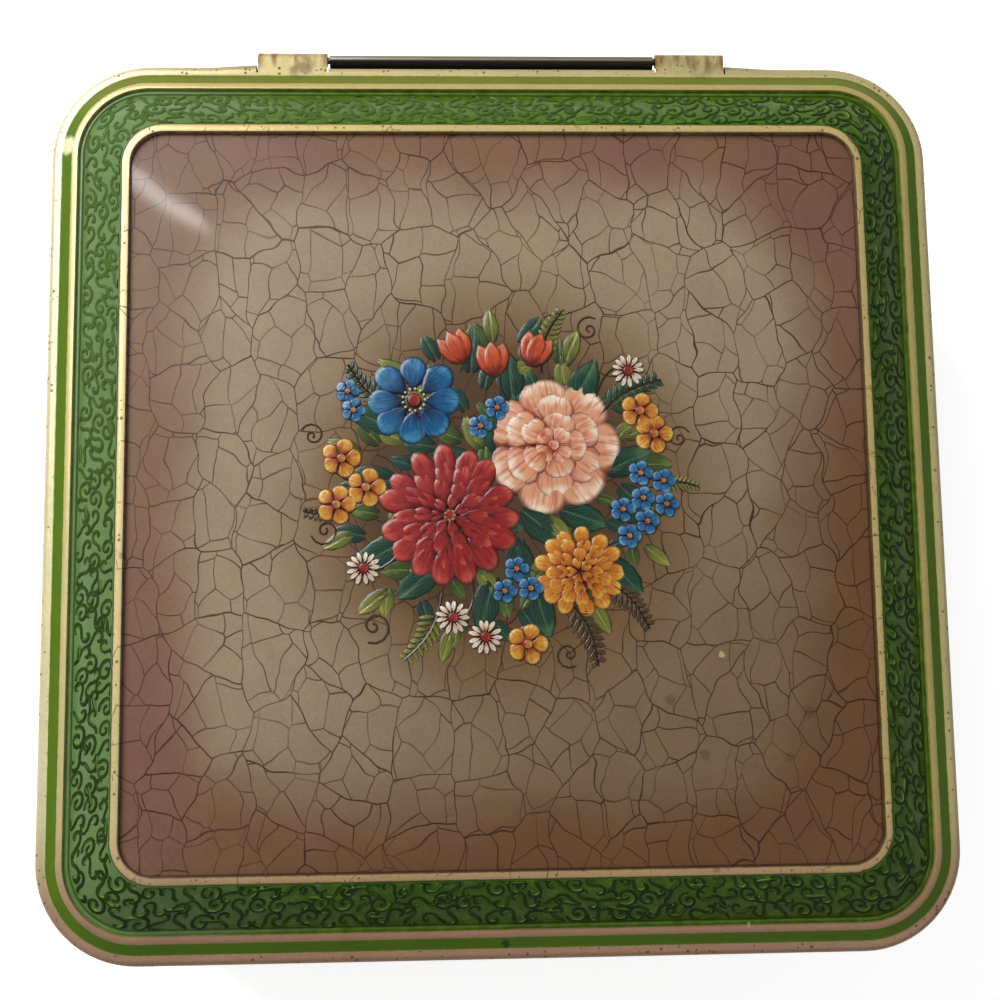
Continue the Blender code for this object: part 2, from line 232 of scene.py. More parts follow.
class Value:
    def __init__(self, socket):
        self.socket = socket

    def __add__(self, other):
        return calc("ADD", self, other)

    def __sub__(self, other):
        return calc("SUBTRACT", self, other)

    def __rsub__(self, other):
        return calc("SUBTRACT", other, self)

    def __mul__(self, other):
        return calc("MULTIPLY", self, other)

    def __truediv__(self, other):
        return calc("DIVIDE", self, other)

    def __rtruediv__(self, other):
        return calc("DIVIDE", other, self)

    def __abs__(self):
        return calc("ABSOLUTE", self)


def plug(socket, value):        # a value, or a plain number, place or colour
    if isinstance(value, Value):
        socket.id_data.links.new(value.socket, socket)
    else:
        socket.default_value = value


def treeOf(values):
    return next(value.socket.id_data for value in values if isinstance(value, Value))


def addNode(tree, kind, output, inputs, **settings):        # returns the output with that name or number
    node = tree.nodes.new(kind)
    for name, value in settings.items():
        setattr(node, name, value)
    for name, value in inputs.items():
        plug(node.inputs[name], value)
    return Value(node.outputs[output])


def isWide(value):      # a place or a colour, not a number
    return isinstance(value, tuple) or isinstance(value, Value) and value.socket.type in ("VECTOR", "RGBA")


def calc(operation, *values):
    kind, output = "ShaderNodeMath", 0
    if any(isWide(value) for value in values):
        values = [value if isinstance(value, (Value, tuple)) else (value, value, value) for value in values]
        kind, output = "ShaderNodeVectorMath", "Value" if operation in ("LENGTH", "DISTANCE") else "Vector"
    return addNode(treeOf(values), kind, output, dict(enumerate(values)), operation=operation)


def most(first, *others):
    for other in others:
        first = calc("MAXIMUM", first, other)
    return first


def parts(place):
    outputs = addNode(treeOf([place]), "ShaderNodeSeparateXYZ", 0, {0: place}).socket.node.outputs
    return [Value(socket) for socket in outputs]


def placeOf(x, y, z):
    return addNode(treeOf([x, y, z]), "ShaderNodeCombineXYZ", 0, {0: x, 1: y, 2: z})


def mix(share, first, second):      # of two colours
    inputs = {0: share, 6: first, 7: second}
    return addNode(treeOf(inputs.values()), "ShaderNodeMix", 2, inputs, data_type="RGBA")


def ramp(value, low, high, first=0.0, second=1.0):      # first at low, second at high, smooth between
    inputs = {"Value": value, 1: low, 2: high, 3: first, 4: second}
    return addNode(treeOf([value]), "ShaderNodeMapRange", 0, inputs, interpolation_type="SMOOTHSTEP")


def inside(value, half, soft=0.00012):
    return ramp(value, half - soft, half + soft, 1.0, 0.0)


def near(value, middle, width):     # thin line
    return ramp(abs(value - middle), width * 0.4, width, 1.0, 0.0)


def cloud(place, scale, detail=2.0, output=0):      # soft noise, about 0.5 on average
    inputs = {"Vector": place, "Scale": scale, "Detail": detail, "Roughness": 0.55}
    return addNode(treeOf([place]), "ShaderNodeTexNoise", output, inputs)


def cells(place, output, scale, spread, **settings):
    inputs = {"Vector": place, "Scale": scale, "Randomness": spread}
    return addNode(treeOf([place]), "ShaderNodeTexVoronoi", output, inputs, **settings)


def newGroup(name, inputs, outputs):
    tree = bpy.data.node_groups.new(name, "ShaderNodeTree")
    for label, kind in inputs.items():
        tree.interface.new_socket(label, in_out="INPUT", socket_type="NodeSocket" + kind)
    for label in outputs:
        tree.interface.new_socket(label, in_out="OUTPUT", socket_type="NodeSocketFloat")
    given = tree.nodes.new("NodeGroupInput").outputs
    return tree, [Value(given[label]) for label in inputs], tree.nodes.new("NodeGroupOutput").inputs


def useGroup(group, **inputs):
    node = treeOf(inputs.values()).nodes.new("ShaderNodeGroup")
    node.node_tree = group
    for name, value in inputs.items():
        plug(node.inputs[name], value)
    return {socket.name: Value(socket) for socket in node.outputs}


def newFinish(name):
    finish = bpy.data.materials.new(name)
    finish.use_nodes = True
    shader = finish.node_tree.nodes["Principled BSDF"]
    return finish, shader, addNode(finish.node_tree, "ShaderNodeTexCoord", "Object", {})


def setShader(shader, colour, roughness, bump=None, **others):      # bump: height, strength and distance
    if bump:
        inputs = dict(zip(("Height", "Strength", "Distance"), bump))
        others["Normal"] = addNode(shader.id_data, "ShaderNodeBump", 0, inputs)
    for name, value in dict(others, Base_Color=colour, Roughness=roughness).items():
        plug(shader.inputs[name.replace("_", " ")], value)


def rgb(*levels):       # a colour as the eye reads it, 0 to 255, in linear light
    shares = [level / 255 for level in levels]
    linear = [share / 12.92 if share <= 0.04045 else ((share + 0.055) / 1.055) ** 2.4 for share in shares]
    return (*linear, 1)


# Camera, floor and lights
view = {
    "lens": 57.3,
    "place": (-0.01488, -0.04722, 0.3978),      # from the middle of the tin
    "turn": (7.975, -2.501, -0.841),            # degrees
    "nearest": 0.01,
}
studio = {
    "floorWidth": 6.0,
    "floorColour": (0.86, 0.86, 0.86, 1),
    "floorGlow": 0.75,      # for the camera alone, like the white background
    "worldStrength": 0.24,
    "lights": {         # place, aim, sizes and power
        "key": ((-0.43, 0.42, 0.62), (0, 0, 0.066), (0.50, 0.50), 7.4),
        "fill": ((0.5, -0.7, 0.9), (0, 0, 0.066), (0.9, 0.9), 0.8),
        "streak": ((-0.268, 0.366, 0.90), (-0.268, 0.366, 0), (0.070, 0.016), 0.13),
    },
}
white = (1, 1, 1, 1)


def addCamera():
    camera = bpy.data.objects.new("camera", bpy.data.cameras.new("camera"))
    bpy.context.collection.objects.link(camera)
    camera.data.lens = view["lens"]
    camera.data.clip_start = view["nearest"]
    camera.location = Vector(view["place"]) - Vector((0, middleY, 0))
    camera.rotation_euler = [math.radians(angle) for angle in view["turn"]]
    bpy.context.scene.camera = camera


def addSoftbox(name, place, aim, sizes, power):
    light = bpy.data.objects.new(name + "Light", bpy.data.lights.new(name + "Light", "AREA"))
    bpy.context.collection.objects.link(light)
    light.data.shape = "RECTANGLE"
    light.data.size, light.data.size_y = sizes
    light.data.energy = power
    light.location = place
    light.rotation_euler = (Vector(aim) - Vector(place)).to_track_quat("-Z", "Y").to_euler()


def addWorld():
    world = bpy.data.worlds.new("studio")
    bpy.context.scene.world = world
    world.use_nodes = True
    backdrop = world.node_tree.nodes["Background"]
    seen = addNode(world.node_tree, "ShaderNodeLightPath", "Is Camera Ray", {})
    plug(backdrop.inputs["Color"], white)
    plug(backdrop.inputs["Strength"], seen * (1 - studio["worldStrength"]) + studio["worldStrength"])
    bpy.context.scene.view_settings.view_transform = "Standard"


def addFloor():
    deselect()
    bpy.ops.mesh.primitive_plane_add(size=studio["floorWidth"], location=(0, 0, 0))
    floor = bpy.context.active_object
    floor.name = "floor"
    finish, shader, place = newFinish("paleFloor")
    glow = addNode(finish.node_tree, "ShaderNodeLightPath", "Is Camera Ray", {}) * studio["floorGlow"]
    setShader(shader, studio["floorColour"], 0.9, Emission_Color=white, Emission_Strength=glow)
    floor.data.materials.append(finish)


addCamera()
for name, settings in studio["lights"].items():
    addSoftbox(name, *settings)
addWorld()
addFloor()
print("camera, floor and lights are in place")


# Groups that more than one finish uses


def groupSquareRing():      # how far out a point lies, on rounded squares that share their corners' centres
    tree, (place, centre), out = newGroup("squareRing", {"Place": "Vector", "Centre": "Float"}, ["Half"])
    past = abs(place * (1, 1, 0)) - placeOf(centre, centre, 0.0)
    x, y = parts(past)[:2]
    outside = calc("LENGTH", calc("MAXIMUM", past, (0, 0, 0)))
    plug(out["Half"], outside + calc("MINIMUM", most(x, y), 0.0) + centre)
    return tree


def groupCrackle():     # cracks in old lacquer: each level stops at the lines of the one before
    tree, (place, cell, width), out = newGroup(
        "crackle", {"Place": "Vector", "Cell": "Float", "Width": "Float"}, ["Main", "Fine"])
    finer = 1.0 / cell
    bend = cloud(place, finer, 1.5, "Color") - (0.5, 0.5, 0.5)
    grid = (place * finer + bend * 0.6) * (1.15, 0.85, 1.0)
    lines = []
    for growth, thick in ((1.0, 0.40), (1.65, 0.64)):
        if lines:
            grid = grid + cells(grid, "Color", 1.0, 0.85, voronoi_dimensions="2D") * 23.0
        grid = grid * growth
        edge = cells(grid, "Distance", 1.0, 0.85, voronoi_dimensions="2D", feature="DISTANCE_TO_EDGE")
        thick = width * finer * thick
        lines.append(ramp(edge, thick * 0.3, thick, 1.0, 0.0))
    weak = ramp(cloud(place, finer * 0.9, 1.0), 0.34, 0.60)
    plug(out["Main"], lines[0] * (weak * 0.2 + 0.8))
    plug(out["Fine"], lines[1] * (weak * 0.4 + 0.6))
    return tree


def groupSpecks():      # rust dots, each of its own size
    tree, (place, scale, size), out = newGroup(
        "specks", {"Place": "Vector", "Scale": "Float", "Size": "Float"}, ["Mask"])
    chance = parts(cells(place, "Color", scale, 1.0))[0]
    uneven = (cloud(place, scale * 4.0, 3.0) - 0.5) * 0.22
    away = cells(place, "Distance", scale, 1.0) + uneven - calc("POWER", chance, 4.0) * size
    plug(out["Mask"], ramp(away, -0.05, 0.03, 1.0, 0.0))
    return tree


def groupSpot():        # one mark at its place on the lid
    tree, (place, centre, radius), out = newGroup(
        "spot", {"Place": "Vector", "Centre": "Vector", "Radius": "Float"}, ["Mask"])
    plug(out["Mask"], ramp(calc("DISTANCE", place, centre) / radius, 0.55, 1.2, 1.0, 0.0))
    return tree


def groupGrain():       # uneven printing: a value round 1 for colours, and a height for the bump
    tree, (place, amount), out = newGroup(
        "grain", {"Place": "Vector", "Amount": "Float"}, ["Tone", "Height"])
    wide, fine = cloud(place, 90.0, 3.0), cloud(place, 1600.0)
    plug(out["Tone"], (wide * 0.9 + fine * 1.1 - 1.0) * amount + 1.0)
    plug(out["Height"], wide * 2.0 + fine * 0.25)
    return tree


squareRing, crackle, specks = groupSquareRing(), groupCrackle(), groupSpecks()
spot, grain = groupSpot(), groupGrain()

# Lid
lid = {
    "skirtDepth": 0.0052,
    "hemRadius": 0.00075,
    "hemTurn": math.radians(250),
    "hemStep": math.radians(20),
    "shoulderRadius": 0.0016,
    "shoulderStep": math.radians(10),
    "ledge": 0.0007,
    "beadWidth": 0.0037,        # green, then gold, up to the crest
    "beadHeight": 0.0019,
    "beadRound": 0.55,          # share of a quarter circle in its outer side
    "beadSteps": 12,
    "lineSteps": 6,             # of its inner side, of the ridge, and of the gold line's inner side
    "beadFall": 0.0003,         # steep inner side
    "grooveHeight": 0.0010,
    "ridgeWidth": 0.0010,       # thin raised line between the groove and the scrolls
    "ridgeHeight": 0.00015,
    "bandFoot": 0.00115,        # height of the sloping band's foot above the rim
    "frameHalf": 0.0780,
    "frameWidth": 0.0016,
    "frameFall": 0.0002,
    "frameHeight": 0.0092,
    "frameRound": 0.0003,
    "bandBulge": 0.0005,
    "panelHeight": 0.0079,
    "panelCrown": 0.0021,
    "panelPower": 3.0,          # how flat the middle of the pillowed panel is
    "bandCuts": 9,
    "roundHalf": 0.050,         # circle that the square panel turns into
    "panelCuts": 13,
    "roundRings": 30,
    "notchHalf": 0.0514,
    "flare": 0.0006,
    "flareRun": 0.010,
    "tabInner": 0.036,
    "tabOuter": 0.051,
    "slit": 0.0002,
    "axisReach": 0.0018,
    "tabRadius": 0.00165,
    "tabPitch": 0.0004,
    "tabTurn": math.radians(450),
    "tabSteps": 40,
}

# Posy pressed into the panel: places in metres from the middle of the tin, and turns in degrees
posy = {
    "bed": 0.00018,
    "bedRadius": 0.042,
    "bedEdge": 0.008,
    "mound": 0.00030,
    "moundEdge": (1.1, 0.6),        # where it ends and how wide its slope is, in radii of the blossom
    "blossoms": {
        "zinnia": (-0.0105, -0.0055, 0.0140),
        "camellia": (0.0110, 0.0088, 0.0140),
        "anemone": (-0.0176, 0.0185, 0.0090),
        "marigold": (0.0158, -0.0172, 0.0090),
    },
    "sink": 0.00012,        # how far a petal's underside reaches into the sheet
    "veined": ("teal", "lime", "green"),
    "tendrilThick": 0.00015,
    "fillers": (90, 0.030, 0.0058, 0.0096),     # small leaves: count, how far out, least and most length
    "buttercups": ((-0.0325, 0.0065), (-0.0275, 0.0005), (-0.0335, -0.0030), (0.0050, -0.0318),
                   (0.0290, 0.0160), (0.0318, 0.0112)),
    "forgetMeNots": (
        (0.0300, -0.0070), (0.0340, -0.0035), (0.0292, -0.0022), (0.0335, 0.0014), (0.0288, 0.0030),
        (0.0262, -0.0100), (-0.0300, 0.0165), (-0.0312, 0.0205), (0.0030, -0.0165), (0.0058, -0.0205),
        (0.0005, -0.0210), (-0.0040, 0.0130), (-0.0005, 0.0168), (0.0250, -0.0045)),
    "daisies": ((-0.0100, -0.0262), (-0.0035, -0.0302), (0.0268, 0.0245), (-0.0280, -0.0160)),
    "tulips": ((-0.0008, 0.0232, 96), (0.0062, 0.0255, 68), (-0.0070, 0.0262, 118)),        # x, y and turn
    "tulipFans": ((-20, 0.00024), (20, 0.00024), (0, 0.00038)),     # turn and lift of its petals
    "tulipSize": (0.0078, 0.0040),
    "tealLeaves": (     # turn, distance from the middle, length and width
        (8, 0.021, 0.0125, 0.0062), (46, 0.020, 0.0150, 0.0068), (80, 0.017, 0.0130, 0.0060),
        (104, 0.024, 0.0120, 0.0056), (150, 0.023, 0.0130, 0.0062), (176, 0.020, 0.0125, 0.0060),
        (208, 0.021, 0.0145, 0.0064), (232, 0.019, 0.0130, 0.0060), (266, 0.017, 0.0140, 0.0060),
        (288, 0.021, 0.0120, 0.0056), (326, 0.025, 0.0120, 0.0058), (350, 0.022, 0.0110, 0.0054),
        (100, 0.006, 0.0135, 0.0066), (84, 0.010, 0.0130, 0.0064), (312, 0.005, 0.0130, 0.0066),
        (285, 0.010, 0.0120, 0.0062), (340, 0.012, 0.0120, 0.0062), (140, 0.004, 0.0120, 0.0060)),
    "limeLeaves": (
        (118, 0.008, 0.0095, 0.0042), (330, 0.010, 0.0090, 0.0040), (60, 0.000, 0.0090, 0.0040),
        (22, 0.027, 0.0110, 0.0042), (62, 0.028, 0.0100, 0.0040), (92, 0.030, 0.0085, 0.0034),
        (128, 0.028, 0.0100, 0.0040), (165, 0.029, 0.0085, 0.0036), (196, 0.030, 0.0090, 0.0034),
        (222, 0.030, 0.0095, 0.0036), (250, 0.030, 0.0080, 0.0032), (278, 0.028, 0.0095, 0.0036),
        (308, 0.028, 0.0100, 0.0038), (338, 0.031, 0.0080, 0.0032)),
    "fronds": ((34, 0.027, 0.0135, "teal"), (70, 0.029, 0.0110, "lime"), (140, 0.029, 0.0115, "teal"),
               (186, 0.031, 0.0095, "stem"), (240, 0.028, 0.0120, "lime"), (298, 0.028, 0.0130, "stem"),
               (316, 0.030, 0.0115, "stem"), (0, 0.033, 0.0080, "lime")),
    "frondLeaves": (8, 0.95, 0.30, 0.02, 0.085),    # pairs, turn, length, how much less each time, and width
    "stems": ((-0.0240, 0.0020, 170, 0.010), (-0.0060, -0.0180, 250, 0.011), (0.0220, -0.0040, 350, 0.011),
              (0.0020, 0.0180, 95, 0.009), (0.0200, 0.0190, 48, 0.010), (-0.0200, -0.0120, 205, 0.011)),
    "tendrils": ((-0.0360, -0.0090, 200, 1.3), (-0.0255, -0.0285, 250, 1.5), (0.0130, -0.0345, 300, -1.2),
                 (-0.0385, 0.0120, 150, -1.1), (0.0370, 0.0110, 30, 1.1), (0.0185, 0.0340, 60, 1.2)),
}


def panelTop(x, y):     # height of the plain panel's painted face
    edge = lid["frameHalf"] - lid["frameWidth"]
    u, v = min(1, abs(x) / edge), min(1, abs(y) / edge)
    pillow = (1 - u ** lid["panelPower"]) * (1 - v ** lid["panelPower"])
    return tin["rimTop"] + lid["panelHeight"] + lid["panelCrown"] * pillow


def pressed(x, y):      # height of the pressing over the plain panel
    height = posy["bed"] * ease((posy["bedRadius"] - math.hypot(x, y)) / posy["bedEdge"])
    end, slope = posy["moundEdge"]
    for across, along, radius in posy["blossoms"].values():
        away = math.hypot(x - across, y - along) / radius
        height = max(height, posy["mound"] * ease((end - away) / slope))
    return height


def outerSection():
    half, top, shoulder, hem = tin["half"], tin["rimTop"], lid["shoulderRadius"], lid["hemRadius"]
    turn, steps = lid["hemTurn"], lid["lineSteps"]
    section = arc((half - hem, top - lid["skirtDepth"] + hem), hem, -turn, turn, lid["hemStep"])
    section += arc((half - shoulder, top - shoulder), shoulder, 0, math.pi / 2, lid["shoulderStep"])
    foot = half - shoulder - lid["ledge"]
    for i in range(lid["beadSteps"] + 1):
        part = i / lid["beadSteps"]
        rise = ease(part) + (math.sin(math.pi / 2 * part) - ease(part)) * lid["beadRound"]
        section.append((foot - lid["beadWidth"] * part, top + lid["beadHeight"] * rise))
    crest, fall = section[-1], lid["beadHeight"] - lid["grooveHeight"]
    for part in [i / steps for i in range(1, steps + 1)]:
        section.append((crest[0] - lid["beadFall"] * part, crest[1] - fall * ease(part)))
    groove, rise = section[-1], lid["bandFoot"] - lid["grooveHeight"]
    for part in [i / steps for i in range(1, steps + 1)]:
        lift = rise * part + lid["ridgeHeight"] * math.sin(math.pi * part)
        section.append((groove[0] - lid["ridgeWidth"] * part, groove[1] + lift))
    return section


def frameSection():
    half, top = lid["frameHalf"], tin["rimTop"] + lid["frameHeight"]
    flat = lid["frameWidth"] - lid["frameFall"]
    section = [(half - flat * i / 5, top - lid["frameRound"] * (1 - ease(0.5 + i / 8))) for i in range(5)]
    fall = lid["frameHeight"] - lid["panelHeight"]
    for part in [i / lid["lineSteps"] for i in range(lid["lineSteps"] + 1)]:
        section.append((half - flat - lid["frameFall"] * part, top - fall * ease(part)))
    return section


def makeLid(outside, inside):
    outer, inner = outerSection(), frameSection()
    cuts = (lid["tabInner"] - lid["slit"], lid["tabInner"], lid["tabOuter"], lid["notchHalf"])
    piece = drawSection("tinLid", outer, tin["cornerCentre"])
    sweepRound(tin["cornerCentre"], cuts)
    setMode("OBJECT")
    line = drawSection("goldFrame", inner, tin["innerCentre"])
    sweepRound(tin["innerCentre"])
    setMode("OBJECT")
    piece.select_set(True)
    line.select_set(True)
    bpy.context.view_layer.objects.active = piece
    bpy.ops.object.join()
    setMode("EDIT")
    onFoot, onFrame = openRing(outer[-1], tin["cornerCentre"]), openRing(inner[0], tin["innerCentre"])
    pick(piece, lambda point, part: onFoot(point, part) or onFrame(point, part), "edges")
    bpy.ops.mesh.bridge_edge_loops(type="SINGLE", number_cuts=lid["bandCuts"], interpolation="LINEAR")
    bulgeBand(piece, outer[-1], inner[0])
    fillPanel(piece, inner[-1])
    cutNotch(piece)
    rollTabs(piece)
    turnOut(piece, lambda point: abs(point.x) < 0.01 and abs(point.y) < 0.01, (0, 0, 1))
    makeSheet(piece, outside, inside)
    finishPiece(piece, "lid", "lid_enamel", "lid")


def bulgeBand(piece, foot, head):
    shape = bmesh.from_edit_mesh(piece.data)
    for vertex in shape.verts:
        share = (vertex.co.z - foot[1]) / (head[1] - foot[1])
        pastFrame = ringOut(vertex.co, tin["innerCentre"]) > head[0] + tin["weld"]
        withinFoot = ringOut(vertex.co, tin["cornerCentre"]) < foot[0] - tin["weld"]
        if 0.001 < share < 0.999 and pastFrame and withinFoot:
            vertex.co.z += lid["bandBulge"] * math.sin(math.pi * share)
    bmesh.update_edit_mesh(piece.data)


def fillPanel(piece, edge):     # the square turns into a circle, which closes on its middle
    onEdge = openRing(edge, tin["innerCentre"])
    pick(piece, onEdge, "edges")
    count = sum(part.select for part in bmesh.from_edit_mesh(piece.data).edges)
    bpy.ops.mesh.select_all(action="DESELECT")
    bpy.ops.mesh.primitive_circle_add(vertices=count, radius=lid["roundHalf"], location=(0, 0, edge[1]))
    pick(piece, lambda point, part: onEdge(point, part) or part.is_wire, "edges")
    bpy.ops.mesh.bridge_edge_loops(type="SINGLE", number_cuts=lid["panelCuts"], interpolation="LINEAR")
    pick(piece, lambda point, part: part.is_boundary and point.to_2d().length < lid["roundHalf"], "edges")
    for left in range(lid["roundRings"], 1, -1):
        extrudeBy((0, 0, 0))
        scale = (left - 1) / left
        bpy.ops.transform.resize(value=(scale, scale, 1), center_override=(0, 0, edge[1]))
    extrudeBy((0, 0, 0))
    bpy.ops.mesh.merge(type="CENTER")
    shape = bmesh.from_edit_mesh(piece.data)
    for vertex in shape.verts:
        if ringOut(vertex.co, tin["innerCentre"]) < edge[0] - tin["weld"]:
            vertex.co.z = panelTop(vertex.co.x, vertex.co.y) + pressed(vertex.co.x, vertex.co.y)
    bmesh.update_edit_mesh(piece.data)


def cutNotch(piece):    # the skirt stops beside the hinge, and the shoulder too where the tabs leave it
    past = tin["half"] - lid["shoulderRadius"] + tin["weld"]

    def inNotch(point, part):
        underRim = point.z < tin["rimTop"] - tin["sheet"]
        return point.y > past and abs(point.x) < lid["notchHalf"] and (
            abs(point.x) > lid["tabInner"] - lid["slit"] or underRim)

    pick(piece, inNotch, "faces")
    bpy.ops.mesh.delete(type="FACE")
    shape = bmesh.from_edit_mesh(piece.data)
    for vertex in shape.verts:      # its cut ends flare out towards the tabs
        aside = (abs(vertex.co.x) - lid["notchHalf"] + tin["weld"]) / lid["flareRun"]
        if vertex.co.y > past and 0 <= aside < 1:
            vertex.co.y += lid["flare"] * (1 - aside) ** 2
    bmesh.update_edit_mesh(piece.data)


def rollTabs(piece):
    root = (tin["half"] - lid["shoulderRadius"], tin["rimTop"])
    axis = (tin["half"] + lid["axisReach"], tin["rimTop"] - lid["tabRadius"])
    roll = []
    for i in range(lid["tabSteps"] + 1):
        turned = lid["tabTurn"] * i / lid["tabSteps"]
        radius = lid["tabRadius"] - lid["tabPitch"] * turned / math.tau
        roll.append((axis[0] + radius * math.sin(turned), axis[1] + radius * math.cos(turned)))
    for side in (-1, 1):
        def onRoot(point, part):
            onTab = lid["tabInner"] < side * point.x < lid["tabOuter"]
            away = math.hypot(point.y - root[0], point.z - root[1])
            return part.is_boundary and onTab and away < tin["weld"] * 4

        pick(piece, onRoot, "edges")
        extrudeThrough(roll, root)


# Finish of the lid: places are halves of rounded squares, or x and y from the middle of the tin
lidPrint = {
    "rim": rgb(196, 182, 128),
    "pale": rgb(224, 216, 172),     # painted reflection on the rim on the left, also the colour of the painted highlight mark
    "tan": rgb(166, 126, 102),      # painted reflection on the rim and the lines in front
    "rimGreen": rgb(80, 110, 6),
    "olive": rgb(116, 116, 40),     # of the green line at the back
    "gold": rgb(192, 174, 108),
    "bandGreen": rgb(64, 94, 6),
    "bandLight": rgb(92, 124, 32),
    "bandGrey": rgb(104, 132, 84),      # painted sheen on the left
    # dark green of the printed lines, also of the painted shadows under the strokes
    "inkAndShadow": rgb(26, 48, 2),
    "backLeftInk": rgb(72, 100, 38),       # at the back and on the left
    "frame": rgb(200, 178, 118),
    "ring": rgb(152, 131, 106),
    "edge": rgb(122, 90, 66),
    "halo": rgb(102, 70, 34),
    "shade": rgb(62, 42, 26),       # painted shade between the flowers
    # colour of the painted reflections in patches near the panel's edges
    "mauve": rgb(118, 82, 74),
    "frontRightBrown": rgb(92, 56, 16),
    # colour of the cracks, also of the painted shade in the panel's crease
    "crackAndCreaseShade": rgb(50, 24, 8),
    "rust": rgb(74, 50, 30),
    # brown of the stains on the hinge tabs, also used as painted shade at their ends
    "tabStainAndEndShade": rgb(128, 90, 48),
    "rimInner": 0.0927,
    "greenInner": 0.0903,
    "goldInner": 0.0888,
    "ridgeInner": 0.0877,
    "frameOuter": 0.0781,
    "frameInner": 0.0765,
    "softCentre": 0.036,        # of the corners of the panel's soft shading
    "wobble": 0.00022,
    "crackCell": 0.0115,
    "crackWidth": 0.00046,
    "blackMarks": ((0.0001, -0.0917, 0.0010),),
    # painted highlight on the rim at the top left corner
    "glintMarks": ((-0.0912, 0.0765, 0.0021),),
    "darkMarks": (
        (0.0621, -0.0461, 0.0016), (0.0404, -0.0544, 0.0012), (0.0577, -0.0551, 0.0010),
        (0.0336, -0.0433, 0.0012), (0.0421, -0.0769, 0.0008), (0.0647, -0.0767, 0.0007),
        (-0.0765, -0.0129, 0.0007), (0.0516, 0.0957, 0.0016)),
    "paleMarks": ((0.0496, -0.0888, 0.0004), (0.0445, -0.0344, 0.0006)),
    "stains": ((-0.0419, 0.0951, 0.0034), (0.0458, 0.0957, 0.0036)),
}


def marked(place, kind):
    return most(*[useGroup(spot, Place=place, Centre=(x, y, 0), Radius=radius)["Mask"]
                  for x, y, radius in lidPrint[kind]])


def bandPaint(place):
    patch = ramp(cloud(place, 420.0), 0.42, 0.68, 0.0, 0.55)
    return mix(patch, lidPrint["bandGreen"], lidPrint["bandLight"])


def panelPaint(place, flat, cracks):    # a paler ring between the darker edge and the halo round the posy
    look = lidPrint
    x, y = parts(flat)[:2]
    drift = cloud(flat, 28.0) - 0.5
    softHalf = useGroup(squareRing, Place=place, Centre=look["softCentre"])["Half"]
    edging = ramp(drift * 0.016 + softHalf, 0.054, 0.073)
    panel = mix(edging, look["ring"], look["edge"])
    away = drift * 0.012 + calc("LENGTH", flat)
    panel = mix(ramp(away, 0.052, 0.030, 0.0, 0.75), panel, look["halo"])
    # painted shade: darker still between the flowers of the posy
    panel = mix(ramp(away, 0.036, 0.024, 0.0, 0.75), panel, look["shade"])
    # redder brown towards the front and the right
    farRight = ramp(x + y, 0.115, 0.155, 0.0, 0.5)
    panel = mix(most(ramp(x * 0.7 - y, 0.0, 0.075, 0.0, 0.56), farRight), panel, look["frontRightBrown"])
    # painted reflections: mauve patches near the panel's edges
    mauveReflections = ramp(cloud(flat + (0.05, 0.11, 0.2), 22.0, 1.0), 0.50, 0.66) * edging
    panel = mix(mauveReflections * 0.55, panel, look["mauve"])
    return mix(most(cracks["Main"] * 0.95, cracks["Fine"] * 0.85), panel, look["crackAndCreaseShade"])


